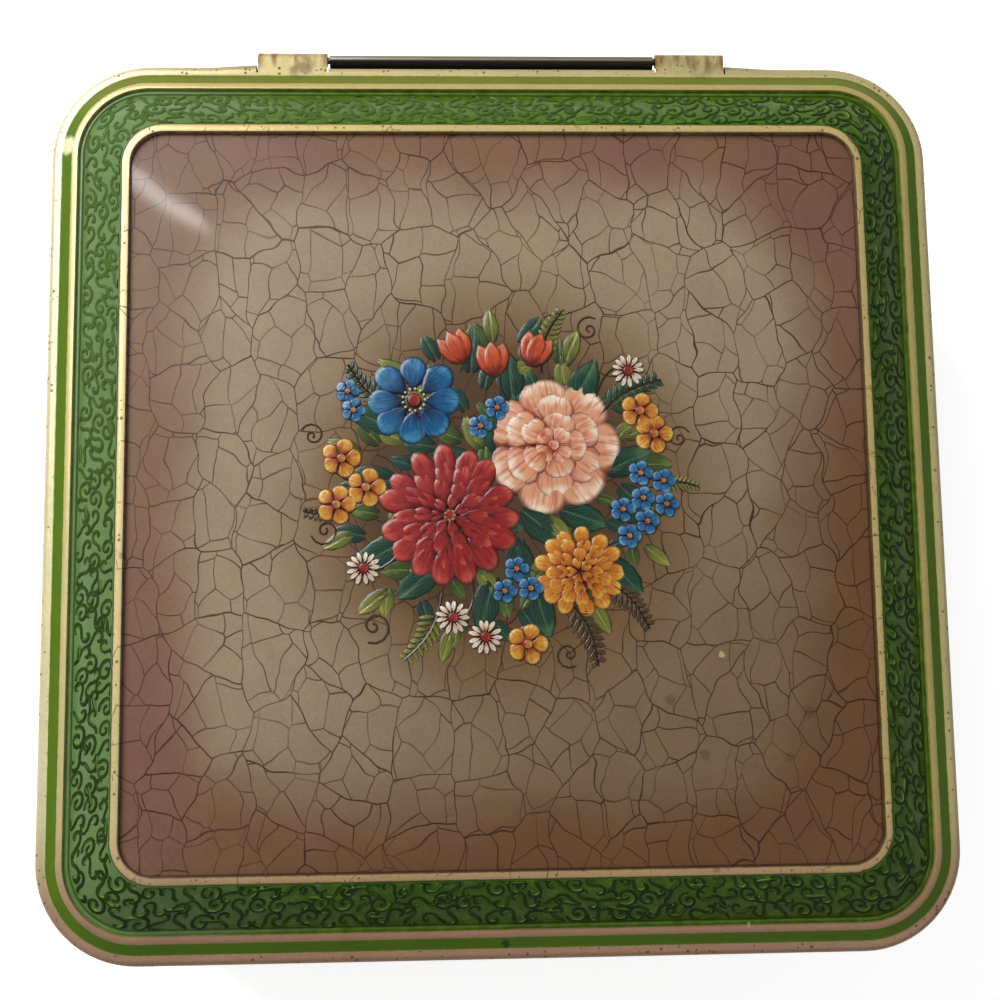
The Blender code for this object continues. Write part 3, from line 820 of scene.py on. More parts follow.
def finishLid():
    look = lidPrint
    finish, shader, place = newFinish("lidPrint")
    place = place + (0, middleY, 0)
    flat = place * (1, 1, 0)
    x, y = parts(flat)[:2]
    sway = (cloud(place, 500.0, 1.0) - 0.5) * look["wobble"]
    outer = useGroup(squareRing, Place=place, Centre=tin["cornerCentre"])["Half"] + sway
    inner = useGroup(squareRing, Place=place, Centre=tin["innerCentre"])["Half"] + sway
    tone = useGroup(grain, Place=place, Amount=0.30)
    cracks = useGroup(crackle, Place=flat, Cell=look["crackCell"], Width=look["crackWidth"])

    # Band, lines, rim and panel, each over the one before
    # painted sheen: the band turns greyer towards the left
    band = mix(ramp(x, -0.03, -0.085, 0.0, 0.7), bandPaint(place), look["bandGrey"])
    broken = ramp(cloud(place, 260.0, 1.0), 0.42, 0.55)
    # painted highlight: lighter green along the raised ridge, broken by noise
    ridgeHighlight = near(outer, (look["goldInner"] + look["ridgeInner"]) / 2 - 0.0001, 0.0005) * broken
    band = mix(ridgeHighlight * 0.35, band, look["bandLight"])
    band = mix(near(outer, look["ridgeInner"], 0.0003) * 0.7, band, look["inkAndShadow"])
    band = mix(near(inner, look["frameOuter"], 0.0004) * 0.75, band, look["inkAndShadow"])
    leftward = ramp(x, -0.05, -0.088)
    frontward = ramp(y, -0.062, -0.088, 0.0, 0.9)

    def withReflections(tint, share):      # painted reflections: paler on the left, brown in front
        return mix(frontward, mix(leftward * share, tint, look["pale"]), look["tan"])

    green = mix(ramp(y, 0.080, 0.090, 0.0, 0.7), look["rimGreen"], look["olive"])
    inGreen, inGold = inside(outer, look["greenInner"]), inside(outer, look["goldInner"])
    inFrame, onPanel = inside(inner, look["frameOuter"]), inside(inner, look["frameInner"])
    colour = mix(inGreen, green, withReflections(look["gold"], 0.25))
    colour = mix(inGold, colour, band)
    colour = mix(1.0 - inside(outer, look["rimInner"]), colour, withReflections(look["rim"], 0.7))
    colour = mix(inFrame, colour, withReflections(look["frame"], 0.35))
    colour = mix(onPanel, colour, panelPaint(place, flat, cracks))
    # painted shade in the crease where the panel meets the gold line, weaker towards the back left
    shadowed = ramp(y - x, -0.02, 0.02, 0.8, 0.2)
    colour = mix(near(inner, look["frameInner"], 0.00035) * shadowed, colour, look["crackAndCreaseShade"])

    # Wear: specks of rust, thickest on the rim and where cracks cross the gold lines, and single marks; also
    # painted shade at the tabs' ends and one painted highlight mark
    onRim = ramp(outer, look["rimInner"], look["rimInner"] + 0.0004)
    onLine = most(inFrame - onPanel, 0.0)
    dots = useGroup(specks, Place=place, Scale=1100.0, Size=0.44)["Mask"]
    crossed = most(cracks["Main"], cracks["Fine"]) * onLine * ramp(cloud(place, 180.0), 0.52, 0.60)
    frayed = (cloud(place, 1300.0, 1.0, "Color") - (0.5, 0.5, 0.5)) * (0.0012, 0.0012, 0) + flat
    stain = marked(frayed, "stains") * ramp(cloud(place, 420.0), 0.36, 0.60)
    rusty = most(onRim, onLine) * dots * 0.75
    dark = most(rusty, crossed * 0.8, marked(frayed, "darkMarks") * 0.45, stain * 0.5)
    colour = mix(dark, colour, look["rust"])
    # tabs: streaky brown stains, and painted shade darkening both ends of each tab
    onTab = ramp(y, tin["half"] - 0.0014, tin["half"] + 0.0008)
    endShade = ramp(abs(abs(x) - (lid["tabInner"] + lid["tabOuter"]) / 2), 0.0056, 0.0074) * 0.8
    streaks = ramp(cloud(place * (1, 0.2, 0.2), 520.0), 0.40, 0.72, 0.0, 0.9)
    colour = mix(onTab * most(streaks, endShade), colour, look["tabStainAndEndShade"])
    colour = mix(marked(frayed, "paleMarks") * 0.7, colour, look["rim"])
    # painted highlight: a pale spot on the rim at the top left corner
    colour = mix(marked(frayed, "glintMarks"), colour, look["pale"])
    colour = mix(marked(frayed, "blackMarks") * 0.85, colour, look["inkAndShadow"])

    # Gold and rim shine as metal under lacquer, and rust is dull
    metal = most(onLine, inGreen - inGold, onRim) * (1.0 - dark) * 0.25
    setShader(shader, colour * tone["Tone"], dark * 0.3 + cloud(place, 60.0) * 0.12 + 0.30,
              (tone["Height"], 0.10, 0.00012), Metallic=metal, Coat_Weight=0.25, Coat_Roughness=0.06,
              Specular_IOR_Level=0.25)
    return finish


bareLook = {
    "tin": rgb(184, 180, 170),
    "warm": rgb(170, 158, 132),
    "brushed": rgb(140, 138, 134),
    "rust": rgb(126, 88, 56),
    "gapShade": rgb(20, 16, 12),       # painted shade, near black, in the gap before the hinge roll: half length, and limits in y and z
    "gapShadeHalf": 0.0357,
    "gapShadeFront": 0.09485,
    "gapShadeBack": 0.0967,
    "gapShadeLow": 0.06385,
}


def finishBareTin():        # inside of the lid and of the wall, with painted shade in the gap before the hinge roll
    look = bareLook
    finish, shader, place = newFinish("bareTin")
    brushed = cloud(place * (1.0, 0.06, 1.0), 900.0)
    dots = useGroup(specks, Place=place, Scale=110.0, Size=0.24)["Mask"]
    colour = mix(ramp(cloud(place, 24.0, 3.0), 0.40, 0.62), look["tin"], look["warm"])
    colour = mix(ramp(brushed, 0.35, 0.7) * 0.25, colour, look["brushed"])
    x, y, z = parts(place + (0, middleY, 0))
    # painted shade: the gap before the hinge roll turns near black and less metallic
    gapShade = inside(abs(x), look["gapShadeHalf"], 0.0001) * inside(y, look["gapShadeBack"], 0.0003)
    gapShade = gapShade * (1.0 - inside(y, look["gapShadeFront"], 0.00015))
    gapShade = gapShade * (1.0 - inside(z, look["gapShadeLow"], 0.00025))
    colour = mix(gapShade, mix(dots * 0.85, colour, look["rust"]), look["gapShade"])
    setShader(shader, colour, ramp(brushed, 0.2, 0.8, 0.30, 0.46), (brushed, 0.08, 0.0001),
              Metallic=0.95 - most(dots, gapShade) * 0.8)
    return finish


bareTin = finishBareTin()
makeLid(finishLid(), bareTin)
print("the lid is made")

# Wall, base and wire
wall = {
    "inset": 0.0009,        # outer face of the wall, inside the lid's outer face
    "bend": 0.00045,
    "seatGap": 0.0003,
    "neckGap": 0.0003,
    "neckDrop": 0.0018,
    "neckCurl": 0.00075,
    "curlTurn": math.radians(250),
    "neckBend": 0.0003,
    "seamGap": 0.00012,     # between the layers of the double seam at the foot
    "seamHeight": 0.0030,
    "tongueHalf": 0.0355,
    "tongueSlit": 0.0005,
    "tongueLean": math.radians(45),
    "tongueWrap": math.radians(285),
    "wrapStep": math.radians(10),
    "railDrop": 0.0009,
    "lockPlace": 0.045,     # folded joint inside the left side
    "lockWidth": 0.0050,
    "lockDepth": 0.0006,
    "lockLow": 0.0051,
    "lockDrop": 0.0015,     # of its top below the ledge
    "lockBevel": 0.0002,
    "fineStep": math.radians(15),
    "goldLines": (0.0042, 0.0084, 0.0543, 0.0592),      # heights of the printed lines
    "goldHalf": 0.0004,
    "lineSoft": 0.0001,
}
base = {
    "overlap": 0.0012,
    "recess": 0.0032,
    "bend": 0.0005,
    "stepInset": 0.0080,
    "stepRun": 0.0010,
    "stepRise": 0.0006,
    "lacquer": rgb(190, 160, 96),
    "darkLacquer": rgb(164, 134, 74),
    "worn": rgb(150, 146, 138),
    "rust": rgb(84, 54, 32),
}
wire = {
    "radius": 0.00075,
    "gap": 0.0001,
    "showing": 0.0002,
    "bevel": 0.00012,
    "dark": rgb(120, 118, 114),
    "light": rgb(168, 165, 160),
    "brown": rgb(88, 64, 44),
}
wallHalf = tin["half"] - wall["inset"]
ledgeTop = tin["rimTop"] - lid["skirtDepth"] - wall["seatGap"]
hookRadius = wall["seamGap"] + tin["sheet"] / 2
hookTop = wall["seamHeight"] - tin["sheet"] - hookRadius
axisY, axisZ = tin["half"] + lid["axisReach"], tin["rimTop"] - lid["tabRadius"]


def wallSection():
    step, bend, neck, curl = wall["fineStep"], wall["bend"], wall["neckBend"], wall["neckCurl"]
    neckHalf = tin["half"] - 2 * lid["hemRadius"] - wall["neckGap"]
    foot = (wallHalf + hookRadius, 2 * tin["sheet"] + wall["seamGap"] + hookRadius)
    section = [(wallHalf + 2 * hookRadius, hookTop)]
    section += arc(foot, hookRadius, 0, -math.pi, step)
    section += arc((wallHalf - bend, ledgeTop - bend), bend, 0, math.pi / 2, step)
    section += arc((neckHalf + neck, ledgeTop + neck), neck, 3 * math.pi / 2, -math.pi / 2, step)
    curlTop = tin["rimTop"] - wall["neckDrop"]
    section += arc((neckHalf - curl, curlTop - curl), curl, 0, wall["curlTurn"], step)
    return section


def makeWall(outside, inside):
    top = ledgeTop - wall["bend"]
    railStart, railEnd = wall["tongueHalf"] + wall["tongueSlit"], lid["tabOuter"] + wall["tongueSlit"]
    piece = drawSection("tinWall", wallSection(), tin["cornerCentre"])
    sweepRound(tin["cornerCentre"], (wall["tongueHalf"], railStart, lid["tabOuter"], railEnd))

    def cutAway(point, part):       # the neck stops before the back corners, and the ledge beside the rails
        if point.y < tin["cornerCentre"] or point.z < top + tin["weld"]:
            return False
        onBend = ringOut(point, tin["cornerCentre"]) > wallHalf - wall["bend"] - tin["weld"]
        return not (onBend and abs(point.x) > railEnd and point.z < ledgeTop + tin["weld"])

    pick(piece, cutAway, "faces")
    bpy.ops.mesh.delete(type="FACE")
    roll = arc((axisY, axisZ), wire["radius"] + wire["gap"], math.pi - wall["tongueLean"],
               -wall["tongueWrap"], wall["wrapStep"])
    run = roll[0][0] - wallHalf
    tongue = [(wallHalf, roll[0][1] - run / math.tan(wall["tongueLean"]))] + roll
    rail = [(wallHalf, tin["rimTop"] - wall["railDrop"])]
    for low, high, route in ((-wall["tongueHalf"], wall["tongueHalf"], tongue),
                             (railStart, lid["tabOuter"], rail), (-lid["tabOuter"], -railStart, rail)):
        pick(piece, lambda point, part: part.is_boundary and low < point.x < high
             and abs(point.z - top) < tin["weld"] and point.y > wallHalf - tin["weld"] * 4, "edges")
        extrudeThrough(route, (wallHalf, top))
    turnOut(piece, lambda point: point.x > 0.09 and abs(point.y) < 0.02 and 0.02 < point.z < 0.04, (1, 0, 0))
    makeSheet(piece, outside, inside)
    finishPiece(piece, "body", "wall_enamel", "body_wall")


def makeLockSeam(finish):       # the extra thickness of the folded joint
    depth = tin["sheet"] / 2 + wall["lockDepth"]
    low, high = wall["lockLow"], ledgeTop - wall["lockDrop"]
    place = (-wallHalf + tin["sheet"] / 2 + depth / 2, wall["lockPlace"] - middleY, (low + high) / 2)
    deselect()
    bpy.ops.mesh.primitive_cube_add(size=1, location=place, scale=(depth, wall["lockWidth"], high - low))
    piece = beginEditing("lockSeam")
    bpy.ops.mesh.bevel(offset=wall["lockBevel"], segments=3, affect="EDGES")
    endEditing(piece, finish)
    finishPiece(piece, "body", "wall_enamel")


def baseSection():
    step, bend, recess = wall["fineStep"], base["bend"], base["recess"]
    seamHalf = wallHalf + 3 * (wall["seamGap"] + tin["sheet"])
    inner = wallHalf - 2 * tin["sheet"] - wall["seamGap"]
    edge = inner - base["stepInset"]
    run, rise = base["stepRun"], base["stepRise"]
    section = [(edge - run * (1 - i / 6), recess + rise * (1 - ease(i / 6))) for i in range(7)]
    section += arc((inner - bend, recess - bend), bend, math.pi / 2, -math.pi / 2, step)
    section += arc((inner + bend, bend), bend, math.pi, math.pi / 2, step)
    section += arc((seamHalf - bend, bend), bend, 3 * math.pi / 2, math.pi / 2, step)
    hook = hookRadius + tin["sheet"]
    section += arc((seamHalf - hook, hookTop), hook, 0, math.pi, step)
    section.append((section[-1][0], hookTop - base["overlap"]))
    return section


def makeBase(outside, inside):
    section = baseSection()
    piece = drawSection("tinBase", section, tin["cornerCentre"])
    sweepRound(tin["cornerCentre"])
    pick(piece, openRing(section[0], tin["cornerCentre"]), "edges")
    bpy.ops.mesh.edge_face_add()
    turnOut(piece, lambda point: point.to_2d().length < 0.01, (0, 0, -1))
    makeSheet(piece, outside, inside)
    finishPiece(piece, "body", "base_enamel", "base_plate")


def makeWire(finish):
    half = lid["tabOuter"] + wire["showing"]
    deselect()
    bpy.ops.mesh.primitive_cylinder_add(
        vertices=24, radius=wire["radius"], depth=2 * half, location=(0, axisY - middleY, axisZ),
        rotation=(0, math.pi / 2, 0))
    piece = beginEditing("steelWire")
    pick(piece, lambda point, part: abs(abs(point.x) - half) < tin["weld"], "edges")
    bpy.ops.mesh.bevel(offset=wire["bevel"], segments=2, affect="EDGES")
    endEditing(piece, finish)
    finishPiece(piece, "body", "wire", "hinge_wire")


def unrolled(place):        # distance round the wall from the middle of its front, and height
    x, y, z = parts(place + (0, middleY, 0))
    side = calc("SIGN", x)
    along = side * (wallHalf - abs(y)) + x
    along = calc("GREATER_THAN", y, 0.0) * (side * (4 * wallHalf) - along * 2.0) + along
    joint = calc("LESS_THAN", along, -2 * wallHalf - wall["lockPlace"])     # where the sheet's ends meet
    return placeOf(joint * (8 * wallHalf) + along, z, 0.0)


def finishWall():
    look = lidPrint
    finish, shader, place = newFinish("wallPrint")
    height = parts(place)[2]
    tone = useGroup(grain, Place=place, Amount=0.30)
    cracks = useGroup(crackle, Place=unrolled(place), Cell=look["crackCell"], Width=look["crackWidth"])
    lines = wall["goldLines"]
    colour = mix(ramp(abs(height - sum(lines) / 4), 0.008, 0.023), look["ring"], look["edge"])
    colour = mix(most(cracks["Main"], cracks["Fine"] * 0.8) * 0.85, colour, look["crackAndCreaseShade"])

    def line(middle, half):
        return ramp(abs(height - middle), half, half + wall["lineSoft"], 1.0, 0.0)

    for low, high in (lines[:2], lines[2:]):
        colour = mix(line((low + high) / 2, (high - low) / 2), colour, bandPaint(place))
    gold = most(*[line(middle, wall["goldHalf"]) for middle in lines])
    dots = useGroup(specks, Place=place, Scale=150.0, Size=0.24)["Mask"]
    colour = mix(dots * 0.8, mix(gold, colour, look["gold"]), look["rust"])
    setShader(shader, colour * tone["Tone"], dots * 0.35 + cloud(place, 60.0) * 0.12 + 0.22,
              (tone["Height"], 0.10, 0.00012), Metallic=gold * 0.45, Coat_Weight=0.5, Coat_Roughness=0.12)
    return finish


def finishBase():       # gold lacquer, worn to grey tin and brown rust where it stands
    finish, shader, place = newFinish("goldLacquer")
    height = parts(place)[2]
    scratches = cloud(place * (1.0, 0.05, 1.0), 700.0, 3.0)
    blotch = cloud(place, 35.0, 3.0)
    foot = ramp(height, 0.0004, 0.0001) * ramp(scratches, 0.36, 0.56)
    rim = ramp(height, 0.0026, 0.0030) * ramp(blotch, 0.46, 0.60)
    dots = useGroup(specks, Place=place, Scale=190.0, Size=0.34)["Mask"]
    colour = mix(ramp(blotch, 0.38, 0.64), base["lacquer"], base["darkLacquer"])
    colour = mix(dots, mix(most(foot, rim * 0.6), colour, base["worn"]), base["rust"])
    setShader(shader, colour, ramp(scratches, 0.2, 0.8, 0.26, 0.46), (scratches, 0.10, 0.0001),
              Metallic=0.8 - dots * 0.7)
    return finish


def finishWire():       # dull steel, browned in places
    finish, shader, place = newFinish("dullSteel")
    drawn = cloud(place * (0.05, 1.0, 1.0), 2500.0)
    brown = ramp(cloud(place, 140.0, 3.0), 0.48, 0.62)
    setShader(shader, mix(brown, mix(drawn, wire["dark"], wire["light"]), wire["brown"]), drawn * 0.2 + 0.30,
              (drawn, 0.10, 0.00005), Metallic=1.0 - brown * 0.6)
    return finish


makeWall(finishWall(), bareTin)
makeLockSeam(bareTin)
makeBase(finishBase(), bareTin)
makeWire(finishWire())
print("wall, base and wire are made")

# Scrolls on the sloping band, drawn flat in a strip first: along is x, up the slope is y
scrolls = {
    "thick": 0.00040,       # radius of the dark line
    "thickFlat": 0.55,
    "pale": 0.00026,        # and of the pale line inside it, a painted highlight
    "paleSize": 0.80,
    "paleDrop": 0.00004,
    "lowest": 0.05,
    "highest": 0.94,
    "rowShares": (0.205, 0.515, 0.825),
    "pitch": 0.0041,
    "jitter": 0.0005,
    "sizes": (0.90, 1.10),
    "raise": 0.00002,
    "stroke": (0.0042, 0.0006),     # length and width
    "strokeSizes": (0.7, 1.2),
    "strokeTurn": 0.25,
    "strokeSpread": 0.16,       # share of the band's slope, to both sides of a row
    "strokeEvery": 0.030,
    "paleStrokes": (0, 0.0005),     # drop and height
    # painted shadows at the foot of the pale strokes: drop and height
    "strokeShadows": (-0.00055, 0.0003),
    "forms": {              # radius in metres, turned to the left or the right by an angle in degrees
        "snail": ((0.0021, 90), (0.0018, 90), (0.0014, 90), (0.0010, 90), (0.0006, 120)),
        "wave": ((0.0006, 120), (0.0011, 100), (0.0018, 60), (-0.0017, 80), (-0.0012, 100), (-0.0006, 120)),
        "hook": ((-0.0020, 70), (0.0016, 90), (0.0011, 100), (0.0006, 120)),
    },
    "darkPatch": rgb(38, 64, 6),
    # lighter green of the pale lines and strokes, painted highlights on the relief
    "highlightGreen": rgb(82, 112, 38),
}


def makeCurl(name, arcs, sides, thick, flat=1.0):      # a line spun through its arcs, its middle at 0
    deselect()
    bpy.ops.mesh.primitive_circle_add(vertices=sides, radius=thick, rotation=(math.pi / 2, 0, 0))
    bpy.context.active_object.scale.y = flat
    piece = beginEditing(name)
    end, heading = Vector((0, 0)), math.pi / 2
    for radius, degrees in arcs:
        turn = math.radians(degrees) * math.copysign(1, radius)
        centre = end + Vector((-math.sin(heading), math.cos(heading))) * radius
        steps = max(2, round(degrees / 30))
        bpy.ops.mesh.spin(steps=steps, angle=-turn, center=(*centre, 0), axis=(0, 0, 1))
        end = centre + Matrix.Rotation(turn, 2) @ (end - centre)
        heading += turn
    selectAll()
    bpy.ops.mesh.remove_doubles(threshold=tin["weld"])
    bpy.ops.mesh.fill_holes(sides=sides)
    setMode("OBJECT")
    low = Vector([min(v.co[i] for v in piece.data.vertices) for i in range(2)])
    high = Vector([max(v.co[i] for v in piece.data.vertices) for i in range(2)])
    piece.data.transform(Matrix.Translation((*(-(low + high) / 2), 0)))
    return piece


def bandSizes():        # foot and head as (half, height), and the lengths of a quarter of the middle line
    foot, head = outerSection()[-1], frameSection()[0]
    straight = tin["cornerCentre"] + tin["innerCentre"]
    corner = ((foot[0] - tin["cornerCentre"]) + (head[0] - tin["innerCentre"])) / 2 * math.pi / 2
    return foot, head, straight, corner


def onBand(along, share, sizes):        # a place along the middle line, and the share of the way up
    foot, head, straight, corner = sizes
    quarter, rest = divmod(along, straight + corner)
    half = foot[0] + (head[0] - foot[0]) * share
    centre = tin["cornerCentre"] + (tin["innerCentre"] - tin["cornerCentre"]) * share
    if rest < straight:
        x, y = centre * (2 * rest / straight - 1), -half
    else:
        angle = (rest - straight) / corner * math.pi / 2
        x, y = centre + (half - centre) * math.sin(angle), -centre - (half - centre) * math.cos(angle)
    z = foot[1] + (head[1] - foot[1]) * share + lid["bandBulge"] * math.sin(math.pi * share)
    return Matrix.Rotation(quarter * math.pi / 2, 3, "Z") @ Vector((x, y, z))


def wrapOnBand(piece, slope):       # from the flat strip on to the band
    sizes = bandSizes()
    for vertex in piece.data.vertices:
        along, share = vertex.co.x, max(scrolls["lowest"], min(scrolls["highest"], vertex.co.y / slope))
        place = onBand(along, share, sizes)
        ahead = onBand(along + 0.0002, share, sizes) - place
        upward = onBand(along, share + 0.01, sizes) - place
        vertex.co = place + ahead.cross(upward).normalized() * (vertex.co.z + scrolls["raise"])
        vertex.co.y -= middleY
    finishPiece(piece, "lid", "lid_enamel")


def makeScrolls(inkAndShadow, light):
    foot, head, straight, corner = bandSizes()
    slope = math.hypot(foot[0] - head[0], foot[1] - head[1])
    around = 4 * (straight + corner)
    draw = random.Random(7)
    forms = scrolls["forms"].items()
    lines = [makeCurl(name, arcs, 6, scrolls["thick"], scrolls["thickFlat"]) for name, arcs in forms]
    highlightCurls = [makeCurl(name, arcs, 4, scrolls["pale"]) for name, arcs in forms]
    inward = Matrix.Translation((0, 0, -scrolls["paleDrop"])) @ Matrix.Diagonal((
        scrolls["paleSize"], scrolls["paleSize"], 1, 1))
    count = round(around / scrolls["pitch"])
    for part, row in enumerate(scrolls["rowShares"]):       # a piece of pale lines, which are painted highlights, and a piece of dark lines
        places = []
        for i in range(count):
            along = around * (i + 0.5 * (part % 2)) / count + draw.uniform(-1, 1) * scrolls["jitter"]
            across = slope * row + draw.uniform(-1, 1) * scrolls["jitter"]
            form = (i * 7 + part * 3 + draw.randrange(2)) % 3
            angle = draw.uniform(0, math.tau) if i % 2 else draw.choice((0, math.pi / 2))
            size = draw.uniform(*scrolls["sizes"])
            mirrored = Matrix.Diagonal((draw.choice((-1, 1)) * size, size, 1, 1))
            turned = Matrix.Translation((along, across, 0)) @ Matrix.Rotation(angle, 4, "Z") @ mirrored
            places.append((form, turned))
        name = ("low", "mid", "high")[part]
        wrapOnBand(joinPieces(name + "HighlightScrolls", [
            copyPiece(highlightCurls[form], matrix @ inward) for form, matrix in places], light), slope)
        wrapOnBand(joinPieces(name + "DarkScrolls", [
            copyPiece(lines[form], matrix) for form, matrix in places], inkAndShadow), slope)
    discard(lines + highlightCurls)
    makeStrokes(around, slope, inkAndShadow, light)


def makeStrokes(around, slope, inkAndShadow, light):     # short raised strokes, each with a dark one at its foot, a painted shadow
    deselect()
    bpy.ops.mesh.primitive_uv_sphere_add(segments=8, ring_count=6, radius=0.5, rotation=(0, math.pi / 2, 0))
    master = beginEditing("stroke")
    setMode("OBJECT")
    length, width = scrolls["stroke"]
    spread, turned = scrolls["strokeSpread"], scrolls["strokeTurn"]
    count = round(around / scrolls["strokeEvery"])
    for name, finish in (("paleStrokes", light), ("strokeShadows", inkAndShadow)):
        drop, height = scrolls[name]
        draw = random.Random(11)        # the same places for both
        strokes = []
        for row in scrolls["rowShares"]:
            for i in range(count):
                along = around * (i + draw.random()) / count
                across = slope * (row + draw.uniform(-spread, spread)) + drop
                size = Matrix.Diagonal((length * draw.uniform(*scrolls["strokeSizes"]), width, height, 1))
                turn = Matrix.Rotation(draw.uniform(-turned, turned), 4, "Z")
                strokes.append(copyPiece(master, Matrix.Translation((along, across, 0)) @ turn @ size))
        wrapOnBand(joinPieces(name, strokes, finish), slope)
    discard([master])


def finishInk(name, colour, light):     # the scrolls' printed green, uneven and glossy
    finish, shader, place = newFinish(name)
    x, y = parts(place)[:2]
    printed = mix(ramp(cloud(place, 300.0), 0.45, 0.70), colour, light)
    # the lines are lighter towards the back and the left
    backLeftShare = ramp(y * 1.3 - x, 0.03, 0.14, 0.0, 0.75)
    height = useGroup(grain, Place=place, Amount=0.8)["Height"]
    roughness = ramp(cloud(place, 150.0), 0.3, 0.7, 0.42, 0.58)
    setShader(shader, mix(backLeftShare, printed, lidPrint["backLeftInk"]), roughness, (height, 0.15, 0.0001),
              Coat_Weight=0.05, Coat_Roughness=0.25, Specular_IOR_Level=0.2)
    return finish


makeScrolls(finishInk("scrollInkAndShadow", lidPrint["inkAndShadow"], scrolls["darkPatch"]),
            finishInk("highlightGreen", scrolls["highlightGreen"], lidPrint["bandLight"]))
print("the scrolls are on the band")

# Petals: made at length 1 along x and width 1 along y, then copied at their size
petals = {
    "segments": 14,
    "rings": 8,
    "thick": 0.0008,
    "leafThick": 0.0005,
    "fall": 0.00028,        # of a petal from its root to its tip
}
paints = {          # heart, middle and tip of each petal, and the line round it, as the eye reads them
    "coral": ((76, 10, 12), (146, 32, 32), (194, 82, 68), (56, 10, 10)),
    "peach": ((166, 66, 40), (212, 150, 116), (240, 220, 196), (112, 46, 28)),
    "blue": ((10, 34, 72), (18, 86, 132), (70, 140, 176), (8, 24, 50)),
    "sky": ((20, 54, 96), (38, 98, 142), (110, 158, 188), (14, 36, 66)),
    "marigold": ((132, 44, 12), (192, 118, 30), (222, 178, 82), (92, 38, 10)),
    "yellow": ((146, 46, 16), (194, 132, 44), (226, 188, 98), (100, 46, 16)),
    "white": ((176, 128, 100), (212, 198, 174), (234, 226, 210), (90, 68, 52)),
    "orange": ((112, 28, 14), (186, 72, 38), (216, 132, 88), (74, 22, 12)),
    "teal": ((10, 34, 30), (20, 58, 46), (70, 104, 68), (8, 24, 20)),
    "green": ((24, 36, 14), (58, 76, 30), (112, 124, 62), (20, 26, 12)),
    "lime": ((54, 62, 20), (104, 108, 44), (160, 154, 78), (36, 38, 16)),
    "stem": ((46, 30, 16), (78, 54, 28), (104, 80, 44), (34, 22, 12)),
    "tan": ((104, 76, 48), (138, 108, 72), (166, 136, 96), (70, 48, 30)),
    "heartRed": ((100, 18, 16), (140, 30, 26), (182, 80, 54), (64, 12, 10)),
    "heartGold": ((112, 44, 14), (178, 104, 34), (224, 184, 96), (80, 36, 12)),
}


def finishPetal(name):      # along the petal is V, across it U
    heart, middle, tip, line = [rgb(*levels) for levels in paints[name]]
    finish, shader, place = newFinish(name + "Print")
    plan = addNode(finish.node_tree, "ShaderNodeTexCoord", "UV", {})
    across, along = parts(plan)[:2]
    far = (cloud(place, 260.0) - 0.5) * 0.6 + along
    # the dark heart at each petal's root is the flowers' print, deepened as painted shade at the root
    colour = mix(ramp(far, 0.08, 0.58), heart, middle)
    colour = mix(ramp(far, 0.60, 0.95), colour, tip)
    strand = cloud(plan * (16.0, 1.6, 0.0) + place * 90.0, 1.0)
    colour = mix(ramp(strand, 0.50, 0.66) * 0.55, colour, heart)
    colour = mix(ramp(strand, 0.44, 0.30) * 0.35, colour, tip)
    if name in posy["veined"]:      # midrib and slanting side veins
        aside = abs(across - 0.5)
        slant = calc("SINE", (along - aside) * 52.0)
        veins = most(ramp(slant, 0.75, 0.95, 0.0, 0.5), ramp(aside, 0.045, 0.015))
        colour = mix(veins * 0.7, colour, tip)
    colour = mix(ramp(calc("LENGTH", plan - (0.5, 0.5, 0)), 0.37, 0.48) * 0.9, colour, line)
    setShader(shader, colour, ramp(strand, 0.2, 0.8, 0.24, 0.40), (strand, 0.25, 0.0002),
              Coat_Weight=0.35, Coat_Roughness=0.15, Specular_IOR_Level=0.35)
    return finish


def nudge(piece, test, reach, move=None, scale=None, about=(0, 0, 0)):      # with a soft reach
    pick(piece, lambda point, part: test(point))
    soft = {"use_proportional_edit": True, "proportional_edit_falloff": "SMOOTH", "proportional_size": reach}
    if move:
        bpy.ops.transform.translate(value=move, **soft)
    if scale:
        bpy.ops.transform.resize(value=scale, center_override=about, **soft)


def makePetal(name, *steps):        # a flat pillow from x 0 to 1, its UV map its plan, nudged by each step
    deselect()
    bpy.ops.mesh.primitive_uv_sphere_add(
        segments=petals["segments"], ring_count=petals["rings"], radius=0.5, location=(0.5, 0, 0))
    piece = beginEditing(name)
    setMode("OBJECT")
    plan = piece.data.uv_layers[0]
    for loop in piece.data.loops:
        place = piece.data.vertices[loop.vertex_index].co
        plan.data[loop.index].uv = (place.y + 0.5, place.x)
    setMode("EDIT")
    for test, reach, step in steps:
        nudge(piece, test, reach, **step)
    setMode("OBJECT")
    return piece


def makeLeaf():         # pointed, toothed, with a sunk midrib
    piece = makePetal(
        "leaf", (lambda p: p.x > 0.9, 0.55, {"scale": (1, 0.2, 1), "about": (1, 0, 0)}),
        (lambda p: p.x < 0.1, 0.3, {"scale": (1, 0.3, 1)}))
    setMode("EDIT")
    selectAll()
    bpy.ops.mesh.subdivide(number_cuts=1)
    shape = bmesh.from_edit_mesh(piece.data)
    rim = [vertex for vertex in shape.verts if abs(vertex.co.z) < 0.001]
    rim.sort(key=lambda vertex: math.atan2(vertex.co.y, vertex.co.x - 0.5))
    teeth = {vertex.index for vertex in rim[::3]}
    pick(piece, lambda point, part: part.index in teeth and 0.12 < point.x < 0.9)
    bpy.ops.transform.resize(value=(1.02, 1.18, 1), center_override=(0.4, 0, 0))
    nudge(piece, lambda p: abs(p.y) < 0.02 and p.z > 0, 0.12, move=(0, 0, -0.25))
    setMode("OBJECT")
    return piece


